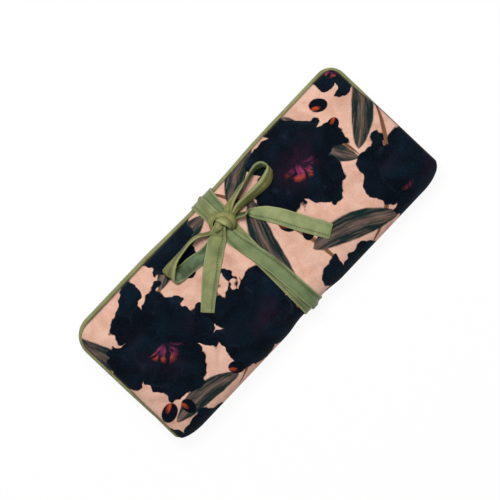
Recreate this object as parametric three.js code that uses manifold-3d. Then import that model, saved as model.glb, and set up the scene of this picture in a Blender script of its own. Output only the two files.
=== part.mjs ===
// Jewellery roll, closed and tied: two padded velvet panels joined by a soft spine.
// Millimetres, +X along the roll, +Y to its open edge, +Z up. It lies on its back panel.
import * as THREE from 'three';
import { mergeVertices } from 'three/addons/utils/BufferGeometryUtils.js';
import Module from 'manifold-3d';

const wasm = await Module();
wasm.setup();

// The closed roll
const ROLL_LENGTH = 260;
const ROLL_WIDTH = 107;
const ROLL_THICKNESS = 30;
const CORNER_RADIUS = 13;
const GAP = 0.3;
const FOLD_GAP = 1.6;

// Layers of a panel, from the outside to the inside
const COVER_THICKNESS = 1.1;
const PADDING_THICKNESS = 2.5;
const LINING_THICKNESS = 0.8;
const PILLOW_WIDTH = 17;
const COVER_DROP = 9.2;
const LINING_DROP = 6.4;
const PADDING_INSET = 12;
const PIPING_DIAMETER = 3;
const SEAM_GAP_SHARE = 3;

// The waist that the tie draws in
const WAIST_DEPTH = 1.6;
const WAIST_FLAT = 11;
const WAIST_FADE = 17;

// The fabric tie
const TIE_WIDTH = 10;
const TIE_THICKNESS = 1.2;
const KNOT_CENTRE_X = 2.5;
const KNOT_FROM_OPEN_EDGE = 23;
const KNOT_LENGTH = 15;
const KNOT_WIDTH = 12;
const KNOT_HEIGHT = 7.6;
const KNOT_TWIST = 0.35;
const CROSSING_OFFSET_X = -8.4;
const CROSSING_OFFSET_Y = 8.2;
const CROSSING_DIAMETER = 7.8;
const CROSSING_HEIGHT = 5.4;
const LOOP_LEAN = 0.5;
const LOOP_WIDTH = 16;
const UPPER_LOOP_LENGTH = 46;
const LOWER_LOOP_LENGTH = 56;
const UPPER_LOOP_AZIMUTH = 0.16;
const LOWER_LOOP_AZIMUTH = 3.17;
const LOOP_START = 13;
const RIGHT_TAIL_LENGTH = 73;
const LOWER_TAIL_LENGTH = 65;
const RIGHT_TAIL_AZIMUTH = -0.925;
const LOWER_TAIL_AZIMUTH = 3.706;
const RIGHT_TAIL_BEND = 0.2;
const LOWER_TAIL_BEND = 0.38;
const TAIL_START = 13;

// Zipped pockets on the back panel
const POCKET_ROOM = 2.1;
const POCKET_THICKNESS = 0.8;
const POCKET_SIDE_INSET = 9;
const POCKET_FOOT = 5;
const ZIP_END_CLEARANCE = 6.7;
const ZIP_TAPE_WIDTH = 4.2;
const ZIP_TAPE_THICKNESS = 0.6;
const ZIP_TAPE_END = 8;
const COIL_WIDTH = 1.5;
const COIL_HEIGHT = 1.5;
const COIL_SLIT = 1;
const STOP_LENGTH = 2.4;
const SLIDER_LENGTH = 8.5;
const SLIDER_WIDTH = 5.4;
const SLIDER_PLATE = 1;
const SLIDER_POST = 0.4;
const BAIL_LENGTH = 5;
const BAIL_WIDTH = 1.2;
const BAIL_THICKNESS = 0.8;
const BAIL_ROOM = 1.5;
const PULL_LENGTH = 13;
const PULL_WIDTH = 4.8;
const PULL_THICKNESS = 0.8;
const PULL_BAR = 0.8;
const PULL_EYE_LENGTH = 3.6;
const PULL_EYE_WIDTH = 2.6;
const LOWER_POCKET_SHARE = 0.56;
const TOP_BAND_CLEARANCE = 2.2;
const POCKET_SPINE_CLEARANCE = 2.5;

// Ring bar and open pocket on the flap
const SLIP_POCKET_CLEARANCE = 10.2;
const SLIP_POCKET_ROOM = 0.3;
const SLIP_POCKET_INSET = 8;
const BINDING_WIDTH = 4;
const BINDING_THICKNESS = 1.1;
const RING_BAR_LENGTH = 118;
const RING_BAR_DIAMETER = 10.4;
const RING_BAR_FROM_FOLD = 19.5;
const RING_BAR_END_ROUND = 4;
const PATCH_DIAMETER = 12;
const PATCH_THICKNESS = 1.5;
const TONGUE_LENGTH = 15;
const TONGUE_WIDTH = 12;
const TONGUE_THICKNESS = 1.2;
const SNAP_DIAMETER = 9;
const SNAP_THICKNESS = 1.3;

// Worked out from the sizes above
const HALF_LENGTH = ROLL_LENGTH / 2;
const HALF_WIDTH = ROLL_WIDTH / 2;
const SPINE_RADIUS = ROLL_THICKNESS / 2;
const FOLD_Y = SPINE_RADIUS - HALF_WIDTH;
const LINING_DEPTH = COVER_THICKNESS + GAP + PADDING_THICKNESS + GAP;
const LINING_FACE = LINING_DEPTH + LINING_THICKNESS;
const PIPING_RADIUS = PIPING_DIAMETER / 2;
const PANEL_INSET = PIPING_DIAMETER + GAP;
const PIPING_DEPTH = COVER_DROP + PIPING_RADIUS;
const TOP = ROLL_THICKNESS;
const BOW_FLOOR = TOP + GAP;
const KNOT_Y = HALF_WIDTH - KNOT_FROM_OPEN_EDGE;
const LEVEL_LENGTH = HALF_LENGTH - PANEL_INSET - PILLOW_WIDTH;
const LEVEL_WIDTH = HALF_WIDTH - PANEL_INSET - PILLOW_WIDTH;

const BLUSH_VELVET = finish(0xe0b7a2, 0.95, 0);
const FOAM = finish(0xe9e2d4, 1, 0);
const SAGE_SATEEN = finish(0x93a36b, 0.7, 0);
const SAGE_PIPING = finish(0x82965a, 0.75, 0);
const SAGE_LINING = finish(0x9aa77c, 0.8, 0);
const ZIP_TAPE = finish(0x7f8f5c, 0.85, 0);
const ZIP_NYLON = finish(0x6f7d50, 0.5, 0);
const GILT = finish(0xc9a25c, 0.3, 1);

const part = new THREE.Group();

function finish(color, roughness, metalness) {
  return new THREE.MeshStandardMaterial({ color, roughness, metalness });
}

function add(name, geometry, material, parent = part) {
  const mesh = new THREE.Mesh(geometry, material);
  mesh.name = name;
  parent.add(mesh);
  return mesh;
}

function signedVolume(positions, index) {
  const corner = (i) => new THREE.Vector3().fromArray(positions, index[i] * 3);
  let volume = 0;
  for (let i = 0; i < index.length; i += 3) {
    volume += corner(i).dot(corner(i + 1).cross(corner(i + 2))) / 6;
  }
  return volume;
}

// A closed body from points and faces, turned so that its faces point out
function closedBody(points, index) {
  const positions = points.flat();
  if (signedVolume(positions, index) < 0) index.reverse();
  const geometry = new THREE.BufferGeometry();
  geometry.setAttribute('position', new THREE.Float32BufferAttribute(positions, 3));
  geometry.setIndex(index);
  geometry.computeVertexNormals();
  return geometry;
}

function quad(index, a, b, c, d) {
  index.push(a, b, c, a, c, d);
}

// A sheet with two faces over one net of stations, closed by its rim.
// face(s, t, k) gives the point at station s, t on the outer (k = 0) or inner (k = 1) face.
function sheetBody(stationsS, stationsT, face) {
  const points = [];
  const index = [];
  const rows = stationsT.length;
  const columns = stationsS.length;
  const at = (i, j, k) => (k * columns + i) * rows + j;
  for (const k of [0, 1]) {
    for (const s of stationsS) {
      for (const t of stationsT) points.push(face(s, t, k));
    }
  }
  for (let i = 0; i < columns - 1; i += 1) {
    for (let j = 0; j < rows - 1; j += 1) {
      quad(index, at(i, j, 0), at(i + 1, j, 0), at(i + 1, j + 1, 0), at(i, j + 1, 0));
      quad(index, at(i, j, 1), at(i, j + 1, 1), at(i + 1, j + 1, 1), at(i + 1, j, 1));
    }
    quad(index, at(i, 0, 0), at(i, 0, 1), at(i + 1, 0, 1), at(i + 1, 0, 0));
    quad(index, at(i, rows - 1, 0), at(i + 1, rows - 1, 0), at(i + 1, rows - 1, 1), at(i, rows - 1, 1));
  }
  for (let j = 0; j < rows - 1; j += 1) {
    quad(index, at(0, j, 0), at(0, j + 1, 0), at(0, j + 1, 1), at(0, j, 1));
    quad(index, at(columns - 1, j, 0), at(columns - 1, j, 1), at(columns - 1, j + 1, 1), at(columns - 1, j + 1, 0));
  }
  return closedBody(points, index);
}

// A body lofted through convex sections, with flat ends
function loftBody(sections) {
  const sides = sections[0].length;
  const points = sections.flat().map((p) => [p.x, p.y, p.z]);
  const index = [];
  for (let i = 0; i < sections.length - 1; i += 1) {
    for (let j = 0; j < sides; j += 1) {
      const next = (j + 1) % sides;
      quad(index, i * sides + j, i * sides + next, (i + 1) * sides + next, (i + 1) * sides + j);
    }
  }
  const last = (sections.length - 1) * sides;
  for (let j = 1; j < sides - 1; j += 1) {
    index.push(0, j + 1, j, last, last + j, last + j + 1);
  }
  return closedBody(points, index);
}

function evenSteps(from, to, count) {
  return Array.from({ length: count + 1 }, (_, i) => from + ((to - from) * i) / count);
}

function smooth(share) {
  const t = Math.min(Math.max(share, 0), 1);
  return t * t * (3 - 2 * t);
}

// How strongly the tie draws the roll in at x: 1 under the tie, 0 away from it
function waistShare(x) {
  return 1 - smooth((Math.abs(x) - WAIST_FLAT) / WAIST_FADE);
}

function edgeCurve(distance) {
  return Math.max(0, 1 - distance / PILLOW_WIDTH) ** 2;
}

// 1 at the three sewn edges of a panel, falling to 0 one pillow width inside them
function edgeShare(x, y) {
  const alongEnds = edgeCurve(HALF_LENGTH - PANEL_INSET - Math.abs(x));
  const alongOpen = edgeCurve(HALF_WIDTH - PANEL_INSET - y);
  return 1 - (1 - alongEnds) * (1 - alongOpen);
}

// Depths below the outermost plane of the panel that the point belongs to
function coverDepth(x, y) {
  const edge = edgeShare(x, y);
  return COVER_DROP * edge + WAIST_DEPTH * waistShare(x) * (1 - edge);
}

function liningDepth(x, y) {
  return LINING_DEPTH + LINING_DROP * edgeShare(x, y);
}

// Clearance between layers, a little wider where they close towards the seam
function layerGap(x, y) {
  return GAP * (1 + SEAM_GAP_SHARE * edgeShare(x, y));
}

// Stations along the roll, closer together at the ends and at the waist
function stationsAlong(inset) {
  const end = HALF_LENGTH - inset;
  const endShares = [1, 0.86, 0.6, 0.3, 0];
  const waistShares = [1, 0.66, 0.33, 0];
  const half = [
    ...endShares.map((share) => end - PILLOW_WIDTH * (1 - share)),
    ...evenSteps(end - PILLOW_WIDTH, WAIST_FLAT + WAIST_FADE, 4).slice(1),
    ...waistShares.slice(1).map((share) => WAIST_FLAT + WAIST_FADE * share),
  ];
  return [...half.map((x) => -x), ...[...half].reverse()];
}

// Stations across a panel, from the fold to its open edge
function stationsAcross(inset) {
  const end = HALF_WIDTH - inset;
  const endShares = [0.3, 0.6, 0.86, 1];
  return [
    ...evenSteps(FOLD_Y + FOLD_GAP / 2, end - PILLOW_WIDTH, 4),
    ...endShares.map((share) => end - PILLOW_WIDTH * (1 - share)),
  ];
}

// Rounds the two corners at the open edge of a net of stations
function roundCorner(x, y, inset) {
  const radius = Math.max(CORNER_RADIUS - inset, GAP);
  const cornerX = HALF_LENGTH - inset - radius;
  const cornerY = HALF_WIDTH - inset - radius;
  if (Math.abs(x) <= cornerX || y <= cornerY) return [x, y];
  const a = (Math.abs(x) - cornerX) / radius;
  const b = (y - cornerY) / radius;
  const roundX = cornerX + radius * a * Math.sqrt(1 - (b * b) / 2);
  const roundY = cornerY + radius * b * Math.sqrt(1 - (a * a) / 2);
  return [Math.sign(x) * roundX, roundY];
}

// The waist draws the open edge in as well
function drawnIn(x, y) {
  return y - WAIST_DEPTH * waistShare(x) * smooth(y / HALF_WIDTH);
}

// Depth at which a cloth lies that rests on the lining, at least the level given
function overLining(x, y, level) {
  const edgeY = y + WAIST_DEPTH * waistShare(x);
  return Math.max(level, liningDepth(x, edgeY) + LINING_THICKNESS + layerGap(x, edgeY));
}

// One layer of a panel. side is 'back' for the lower panel and 'flap' for the upper one.
function panelLayer(side, inset, outerDepth, innerDepth) {
  return sheetBody(stationsAlong(inset), stationsAcross(inset), (x, y, k) => {
    const depth = k === 0 ? outerDepth(x, y) : innerDepth(x, y);
    const [px, py] = roundCorner(x, y, inset);
    return [px, drawnIn(px, py), side === 'flap' ? TOP - depth : depth];
  });
}

// A point of the spine at a depth, on a half circle from the table (angle 0) to the top.
// Its two edges stand back from the panels by half of the fold gap.
function spinePoint(angle, depth) {
  const radius = SPINE_RADIUS - depth;
  const setback = (FOLD_GAP / 2) * (1 - Math.sin(angle));
  return [FOLD_Y - setback - radius * Math.sin(angle), SPINE_RADIUS - radius * Math.cos(angle)];
}

const SPINE_ANGLES = evenSteps(0, Math.PI, 10);

function spineLayer(inset, outerDepth, innerDepth) {
  return sheetBody(stationsAlong(inset), SPINE_ANGLES, (x, angle, k) => {
    const depth = k === 0 ? outerDepth(x) : innerDepth(x);
    return [x, ...spinePoint(angle, depth)];
  });
}

const layers = {
  cover: {
    inset: PANEL_INSET,
    material: BLUSH_VELVET,
    outer: coverDepth,
    inner: (x, y) => coverDepth(x, y) + COVER_THICKNESS,
  },
  padding: {
    inset: PADDING_INSET,
    material: FOAM,
    outer: (x, y) => coverDepth(x, y) + COVER_THICKNESS + layerGap(x, y),
    inner: (x, y) => liningDepth(x, y) - layerGap(x, y),
  },
  lining: {
    inset: PANEL_INSET,
    material: SAGE_LINING,
    outer: liningDepth,
    inner: (x, y) => liningDepth(x, y) + LINING_THICKNESS,
  },
};

function addLayers() {
  for (const [name, layer] of Object.entries(layers)) {
    for (const side of ['back', 'flap']) {
      add(`${side}_${name}`, panelLayer(side, layer.inset, layer.outer, layer.inner), layer.material);
    }
    const outer = (x) => layer.outer(x, FOLD_Y);
    const inner = (x) => layer.inner(x, FOLD_Y);
    add(`spine_${name}`, spineLayer(layer.inset, outer, inner), layer.material);
  }
}

// A round section of the piping, square to the direction it runs in
function pipeSection(centre, direction) {
  const sides = 7;
  const up = Math.abs(direction.x) > 0.9 || Math.abs(direction.z) < 0.1
    ? new THREE.Vector3(0, 0, 1) : new THREE.Vector3(1, 0, 0);
  const across = new THREE.Vector3().crossVectors(direction, up).normalize();
  const over = new THREE.Vector3().crossVectors(across, direction).normalize();
  return evenSteps(0, 2 * Math.PI, sides).slice(0, sides).map((angle) => centre.clone()
    .addScaledVector(across, PIPING_RADIUS * Math.cos(angle))
    .addScaledVector(over, PIPING_RADIUS * Math.sin(angle)));
}

function pipe(points) {
  const sections = points.map((point, i) => {
    const before = points[Math.max(i - 1, 0)];
    const after = points[Math.min(i + 1, points.length - 1)];
    return pipeSection(point, after.clone().sub(before).normalize());
  });
  return loftBody(sections);
}

// The piping of a panel runs up one short end, along the open edge and down the other end
function panelPipingPath(side) {
  const z = side === 'flap' ? TOP - PIPING_DEPTH : PIPING_DEPTH;
  const endX = HALF_LENGTH - PIPING_RADIUS;
  const openY = HALF_WIDTH - PIPING_RADIUS;
  const radius = CORNER_RADIUS - PIPING_RADIUS;
  const startY = FOLD_Y + FOLD_GAP / 2;
  const half = [[endX, startY], [endX, (startY + openY - radius) / 2]];
  for (const angle of evenSteps(0, Math.PI / 2, 6)) {
    half.push([endX - radius * (1 - Math.cos(angle)), openY - radius * (1 - Math.sin(angle))]);
  }
  const alongWaist = evenSteps(endX - radius, 0, 12).slice(1, -1).map((x) => [x, openY]);
  const right = [...half, ...alongWaist];
  const left = [...right].reverse().map(([x, y]) => [-x, y]);
  return [...right, [0, openY], ...left].map(([x, y]) => new THREE.Vector3(x, drawnIn(x, y), z));
}

function spinePipingPath(endSign) {
  const x = endSign * (HALF_LENGTH - PIPING_RADIUS);
  return SPINE_ANGLES.map((angle) => new THREE.Vector3(x, ...spinePoint(angle, PIPING_DEPTH)));
}

function addPiping() {
  add('back_piping', pipe(panelPipingPath('back')), SAGE_PIPING);
  add('flap_piping', pipe(panelPipingPath('flap')), SAGE_PIPING);
  add('spine_piping_left', pipe(spinePipingPath(-1)), SAGE_PIPING);
  add('spine_piping_right', pipe(spinePipingPath(1)), SAGE_PIPING);
}

// A flat strap: each station has its middle, its width direction and its face direction
function strap(stations) {
  return loftBody(stations.map(({ middle, width, face }) => {
    const w = width.clone().multiplyScalar(TIE_WIDTH / 2);
    const f = face.clone().multiplyScalar(TIE_THICKNESS / 2);
    return [
      middle.clone().add(w).add(f),
      middle.clone().sub(w).add(f),
      middle.clone().sub(w).sub(f),
      middle.clone().add(w).sub(f),
    ];
  }));
}

// Half of the section of the roll at its waist, from the spine's middle over the top
function waistOutline() {
  const upperHalf = SPINE_ANGLES.filter((angle) => angle >= Math.PI / 2);
  const spine = upperHalf.map((angle) => spinePoint(angle, WAIST_DEPTH));
  const top = stationsAcross(PANEL_INSET).slice(1).map((y) => [drawnIn(0, y), TOP - coverDepth(0, y)]);
  const pipeY = HALF_WIDTH - WAIST_DEPTH - PIPING_RADIUS;
  const round = evenSteps(Math.PI / 2, 0, 2).map((angle) => [
    pipeY + PIPING_RADIUS * Math.cos(angle), TOP - PIPING_DEPTH + PIPING_RADIUS * Math.sin(angle),
  ]);
  return withoutStraightPoints([...spine, ...top, ...round]);
}

function withoutStraightPoints(outline) {
  return outline.filter((point, i) => {
    if (i === 0 || i === outline.length - 1) return true;
    const [before, after] = [outline[i - 1], outline[i + 1]];
    const area = (point[0] - before[0]) * (after[1] - before[1]) - (point[1] - before[1]) * (after[0] - before[0]);
    return Math.abs(area) > GAP ** 2;
  });
}

// The outline offset outwards by a clearance
function offsetOutline(outline, clearance) {
  return outline.map((point, i) => {
    const before = outline[Math.max(i - 1, 0)];
    const after = outline[Math.min(i + 1, outline.length - 1)];
    const run = new THREE.Vector2(after[0] - before[0], after[1] - before[1]).normalize();
    if (i === 0) run.set(0, 1);
    if (i === outline.length - 1) run.set(0, -1);
    return [point[0] - run.y * clearance, point[1] + run.x * clearance];
  });
}

function closedOutline(clearance) {
  const upper = offsetOutline(waistOutline(), clearance);
  const lower = [...upper].reverse().map(([y, z]) => [y, ROLL_THICKNESS - z]).slice(0, -1);
  return [...upper, ...lower].map(([y, z]) => new THREE.Vector2(y, z));
}

// One turn of the tie round the waist
function wrapTurn(middleX) {
  const shape = new THREE.Shape(closedOutline(GAP + TIE_THICKNESS));
  shape.holes.push(new THREE.Path(closedOutline(GAP).reverse()));
  const geometry = mergedBody(new THREE.ExtrudeGeometry(shape, { depth: TIE_WIDTH, bevelEnabled: false }));
  geometry.rotateX(Math.PI / 2);
  geometry.rotateZ(Math.PI / 2);
  return geometry.translate(middleX - TIE_WIDTH / 2, 0, 0);
}

// Height of the tie's turns where they cross the flap at y
function turnTop(y) {
  return TOP - coverDepth(0, y) + GAP + TIE_THICKNESS;
}

function mergedBody(geometry) {
  const plain = geometry.index ? geometry.toNonIndexed() : geometry;
  plain.deleteAttribute('normal');
  plain.deleteAttribute('uv');
  const merged = mergeVertices(plain, GAP / 100);
  merged.computeVertexNormals();
  return merged;
}

function ellipsoid(length, width, height) {
  return mergedBody(new THREE.SphereGeometry(1, 14, 8)).scale(length / 2, width / 2, height / 2);
}

// A bow loop leaves the knot, turns at its tip and comes back, standing on its edge
function bowLoop(azimuth, length) {
  const along = new THREE.Vector3(Math.cos(azimuth), Math.sin(azimuth), 0);
  const aside = new THREE.Vector3(-along.y, along.x, 0);
  const rise = new THREE.Vector3(0, 0, 1);
  const middleAt = (t) => knotMiddle(0)
    .addScaledVector(along, length * Math.sin(Math.PI * t))
    .addScaledVector(aside, (LOOP_WIDTH / 2) * Math.sin(2 * Math.PI * t))
    .addScaledVector(rise, LOOP_HEIGHT);
  const startShare = Math.asin(LOOP_START / length) / Math.PI;
  const stepShare = 0.005;
  return strap(evenSteps(startShare, 1 - startShare, 22).map((t) => {
    const run = middleAt(t + stepShare).sub(middleAt(t - stepShare)).normalize();
    const out = new THREE.Vector3().crossVectors(run, rise).normalize();
    const across = rise.clone().multiplyScalar(Math.cos(LOOP_LEAN)).addScaledVector(out, Math.sin(LOOP_LEAN));
    return { middle: middleAt(t), width: across, face: new THREE.Vector3().crossVectors(run, across) };
  }));
}

const LOOP_HEIGHT = (TIE_WIDTH * Math.cos(LOOP_LEAN) + TIE_THICKNESS * Math.sin(LOOP_LEAN)) / 2 + GAP;

function knotMiddle(height) {
  return new THREE.Vector3(KNOT_CENTRE_X, KNOT_Y, BOW_FLOOR + height);
}

// A tail lies flat on the cover and bends a little on its way
function bowTail(azimuth, length, bend) {
  return strap(evenSteps(TAIL_START, length, 9).map((distance) => {
    const turn = azimuth + bend * (1 - distance / length);
    const along = new THREE.Vector3(Math.cos(turn), Math.sin(turn), 0);
    const across = new THREE.Vector3(-along.y, along.x, 0);
    const middle = knotMiddle(TIE_THICKNESS / 2).addScaledVector(along, distance);
    return { middle, width: across, face: new THREE.Vector3(0, 0, 1) };
  }));
}

function addTie() {
  const turnX = (TIE_WIDTH + GAP) / 2;
  add('tie_turn_first', wrapTurn(-turnX), SAGE_SATEEN);
  add('tie_turn_second', wrapTurn(turnX), SAGE_SATEEN);
  const knot = add('tie_knot', ellipsoid(KNOT_LENGTH, KNOT_WIDTH, KNOT_HEIGHT), SAGE_SATEEN);
  knot.position.copy(knotMiddle(KNOT_HEIGHT / 2));
  knot.rotation.z = KNOT_TWIST;
  const crossing = add(
    'tie_crossing', ellipsoid(CROSSING_DIAMETER, CROSSING_DIAMETER, CROSSING_HEIGHT), SAGE_SATEEN);
  const crossingY = KNOT_Y + CROSSING_OFFSET_Y;
  crossing.position.set(
    KNOT_CENTRE_X + CROSSING_OFFSET_X, crossingY, turnTop(crossingY) + GAP + CROSSING_HEIGHT / 2);
  add('tie_loop_upper', bowLoop(UPPER_LOOP_AZIMUTH, UPPER_LOOP_LENGTH), SAGE_SATEEN);
  add('tie_loop_lower', bowLoop(LOWER_LOOP_AZIMUTH, LOWER_LOOP_LENGTH), SAGE_SATEEN);
  add('tie_tail_right', bowTail(RIGHT_TAIL_AZIMUTH, RIGHT_TAIL_LENGTH, RIGHT_TAIL_BEND), SAGE_SATEEN);
  add('tie_tail_lower', bowTail(LOWER_TAIL_AZIMUTH, LOWER_TAIL_LENGTH, LOWER_TAIL_BEND), SAGE_SATEEN);
}

function box(lowX, highX, lowY, highY, lowZ, highZ) {
  const geometry = mergedBody(new THREE.BoxGeometry(highX - lowX, highY - lowY, highZ - lowZ));
  return geometry.translate((lowX + highX) / 2, (lowY + highY) / 2, (lowZ + highZ) / 2);
}

function toSolid(geometry) {
  return new wasm.Manifold(new wasm.Mesh({
    numProp: 3,
    vertProperties: new Float32Array(geometry.attributes.position.array),
    triVerts: new Uint32Array(geometry.index.array),
  }));
}

function fromSolid(solid) {
  const { vertProperties, triVerts } = solid.getMesh();
  const geometry = new THREE.BufferGeometry();
  geometry.setAttribute('position', new THREE.Float32BufferAttribute(vertProperties, 3));
  geometry.setIndex([...triVerts]);
  geometry.computeVertexNormals();
  return geometry;
}

function joined(geometries) {
  return fromSolid(geometries.map(toSolid).reduce((whole, piece) => whole.add(piece)));
}

// Places across the back panel, from the spine to the open edge
const ZIP_BAND = 2 * (ZIP_TAPE_WIDTH + GAP + COIL_WIDTH) + COIL_SLIT + 2 * GAP;
const POCKET_FACE = LINING_FACE + POCKET_ROOM;
const LOWER_POCKET_START = FOLD_Y + FOLD_GAP / 2 + POCKET_SPINE_CLEARANCE;
const TOP_BAND_START = LEVEL_WIDTH - TOP_BAND_CLEARANCE;
const POCKET_WIDTHS = TOP_BAND_START - LOWER_POCKET_START - 2 * ZIP_BAND;
const LOWER_POCKET_END = LOWER_POCKET_START + POCKET_WIDTHS * LOWER_POCKET_SHARE;
const LOWER_ZIP_Y = LOWER_POCKET_END + ZIP_BAND / 2;
const UPPER_POCKET_START = LOWER_POCKET_END + ZIP_BAND;
const UPPER_POCKET_END = TOP_BAND_START - ZIP_BAND;
const UPPER_ZIP_Y = UPPER_POCKET_END + ZIP_BAND / 2;
const HALF_ZIP = LEVEL_LENGTH - ZIP_END_CLEARANCE - ZIP_TAPE_END;

// The pocket cloth lies level, and rides over the lining where that rises to its seam
function pocketCloth(fromY, toY, inset, footAtStart) {
  const alongEnd = HALF_LENGTH - inset;
  const stationsX = [...evenSteps(-alongEnd, alongEnd, 14)];
  return sheetBody(stationsX, evenSteps(fromY, toY, 4), (x, y, k) => {
    const foot = footAtStart ? (POCKET_ROOM - GAP) * (1 - smooth((y - fromY) / POCKET_FOOT)) : 0;
    return [x, y, overLining(x, y, POCKET_FACE - foot) + k * POCKET_THICKNESS];
  });
}

function addPockets() {
  const inset = POCKET_SIDE_INSET;
  const topBandEnd = HALF_WIDTH - inset;
  add('lower_pocket_panel', pocketCloth(LOWER_POCKET_START, LOWER_POCKET_END, inset, true), SAGE_LINING);
  add('upper_pocket_panel', pocketCloth(UPPER_POCKET_START, UPPER_POCKET_END, inset, false), SAGE_LINING);
  add('pocket_top_band', pocketCloth(TOP_BAND_START, topBandEnd, inset + CORNER_RADIUS / 2, false), SAGE_LINING);
}

function zipSlider(x, y) {
  const halfLength = SLIDER_LENGTH / 2;
  const halfWidth = SLIDER_WIDTH / 2;
  const coilTop = POCKET_FACE + COIL_HEIGHT - SLIDER_PLATE / 2;
  const upper = coilTop + GAP;
  const lower = POCKET_FACE - SLIDER_PLATE / 2 - GAP;
  const bailFoot = upper + SLIDER_PLATE;
  const bailTop = bailFoot + BAIL_ROOM;
  const halfBail = BAIL_LENGTH / 2;
  const bite = SLIDER_PLATE / 2;
  const pieces = [
    box(x - halfLength, x + halfLength, y - halfWidth, y + halfWidth, upper, bailFoot),
    box(x - halfLength, x + halfLength, y - halfWidth, y + halfWidth, lower - SLIDER_PLATE, lower),
    box(x, x + halfLength, y - SLIDER_POST / 2, y + SLIDER_POST / 2, lower - bite, upper + bite),
    box(x - halfBail, x + halfBail, y - BAIL_WIDTH / 2, y + BAIL_WIDTH / 2, bailTop, bailTop + BAIL_THICKNESS),
  ];
  for (const sign of [-1, 1]) {
    const outer = x + sign * halfBail;
    const inner = outer - sign * BAIL_THICKNESS;
    pieces.push(box(Math.min(outer, inner), Math.max(outer, inner),
      y - BAIL_WIDTH / 2, y + BAIL_WIDTH / 2, bailFoot - bite, bailTop + bite));
  }
  return joined(pieces);
}

// Height of the pull's axle above the table
const PULL_AXIS_Z = POCKET_FACE + COIL_HEIGHT + SLIDER_PLATE / 2 + GAP + BAIL_ROOM / 2;

function zipPull(x, y) {
  const shape = new THREE.Shape();
  const end = x + PULL_BAR / 2 - PULL_LENGTH;
  const round = PULL_WIDTH / 2;
  shape.moveTo(x + PULL_BAR / 2, y - round);
  shape.lineTo(x + PULL_BAR / 2, y + round);
  shape.lineTo(end + round, y + round);
  shape.absarc(end + round, y, round, Math.PI / 2, (3 * Math.PI) / 2, false);
  const eye = new THREE.Path();
  const eyeStart = x - PULL_BAR / 2;
  eye.moveTo(eyeStart, y - PULL_EYE_WIDTH / 2);
  eye.lineTo(eyeStart, y + PULL_EYE_WIDTH / 2);
  eye.lineTo(eyeStart - PULL_EYE_LENGTH, y + PULL_EYE_WIDTH / 2);
  eye.lineTo(eyeStart - PULL_EYE_LENGTH, y - PULL_EYE_WIDTH / 2);
  shape.holes.push(eye);
  const geometry = mergedBody(new THREE.ExtrudeGeometry(shape, {
    depth: PULL_THICKNESS, bevelEnabled: false, curveSegments: 6,
  }));
  return geometry.translate(0, 0, PULL_AXIS_Z - PULL_THICKNESS / 2);
}

function addZip(name, y) {
  const coilStart = COIL_SLIT / 2;
  const tapeStart = coilStart + COIL_WIDTH + GAP;
  const coilLow = POCKET_FACE - SLIDER_PLATE / 2;
  const across = (side, low, high) => (side > 0 ? [y + low, y + high] : [y - high, y - low]);
  for (const [side, word] of [[-1, 'near'], [1, 'far']]) {
    const tape = box(-HALF_ZIP - ZIP_TAPE_END, HALF_ZIP + ZIP_TAPE_END,
      ...across(side, tapeStart, tapeStart + ZIP_TAPE_WIDTH), POCKET_FACE, POCKET_FACE + ZIP_TAPE_THICKNESS);
    add(`${name}_zip_tape_${word}`, tape, ZIP_TAPE);
    const coil = box(-HALF_ZIP, HALF_ZIP,
      ...across(side, coilStart, coilStart + COIL_WIDTH), coilLow, coilLow + COIL_HEIGHT);
    add(`${name}_zip_coil_${word}`, coil, ZIP_NYLON);
  }
  const stopHalf = coilStart + COIL_WIDTH;
  for (const [sign, word] of [[-1, 'bottom'], [1, 'top']]) {
    const near = sign * (HALF_ZIP + GAP);
    const far = sign * (HALF_ZIP + GAP + STOP_LENGTH);
    const stop = box(Math.min(near, far), Math.max(near, far),
      y - stopHalf, y + stopHalf, coilLow, coilLow + COIL_HEIGHT);
    add(`${name}_zip_stop_${word}`, stop, GILT);
  }
  const sliderX = HALF_ZIP - SLIDER_LENGTH / 2;
  add(`${name}_zip_slider`, zipSlider(sliderX, y), GILT);
  add(`${name}_zip_pull`, zipPull(sliderX, y), GILT);
}

// Flap fittings are modelled at their depth below the flap's outer plane
const SLIP_FACE = LINING_FACE + SLIP_POCKET_ROOM;
const BAR_DEPTH = SLIP_FACE + BINDING_THICKNESS + 2 * GAP + RING_BAR_DIAMETER / 2;
const RING_BAR_Y = FOLD_Y + RING_BAR_FROM_FOLD;
const RING_BAR_START_X = -(RING_BAR_LENGTH + GAP + TONGUE_LENGTH) / 2;
const BINDING_START = RING_BAR_Y + PATCH_DIAMETER / 2 + SLIP_POCKET_CLEARANCE;
const SLIP_POCKET_START = BINDING_START + BINDING_WIDTH + GAP;
const SNAP_X = RING_BAR_START_X + RING_BAR_LENGTH + GAP + TONGUE_LENGTH - SNAP_DIAMETER / 2 - GAP;

function slipPocket() {
  const endX = HALF_LENGTH - SLIP_POCKET_INSET;
  const endY = HALF_WIDTH - SLIP_POCKET_INSET;
  return sheetBody(evenSteps(-endX, endX, 16), evenSteps(SLIP_POCKET_START, endY, 5), (x, y, k) => {
    return [x, y, TOP - overLining(x, y, SLIP_FACE) - k * POCKET_THICKNESS];
  });
}

function disc(diameter, x, y, depth, thickness) {
  const geometry = mergedBody(new THREE.CylinderGeometry(diameter / 2, diameter / 2, thickness, 20));
  return geometry.rotateX(Math.PI / 2).translate(x, y, TOP - depth - thickness / 2);
}

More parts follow.
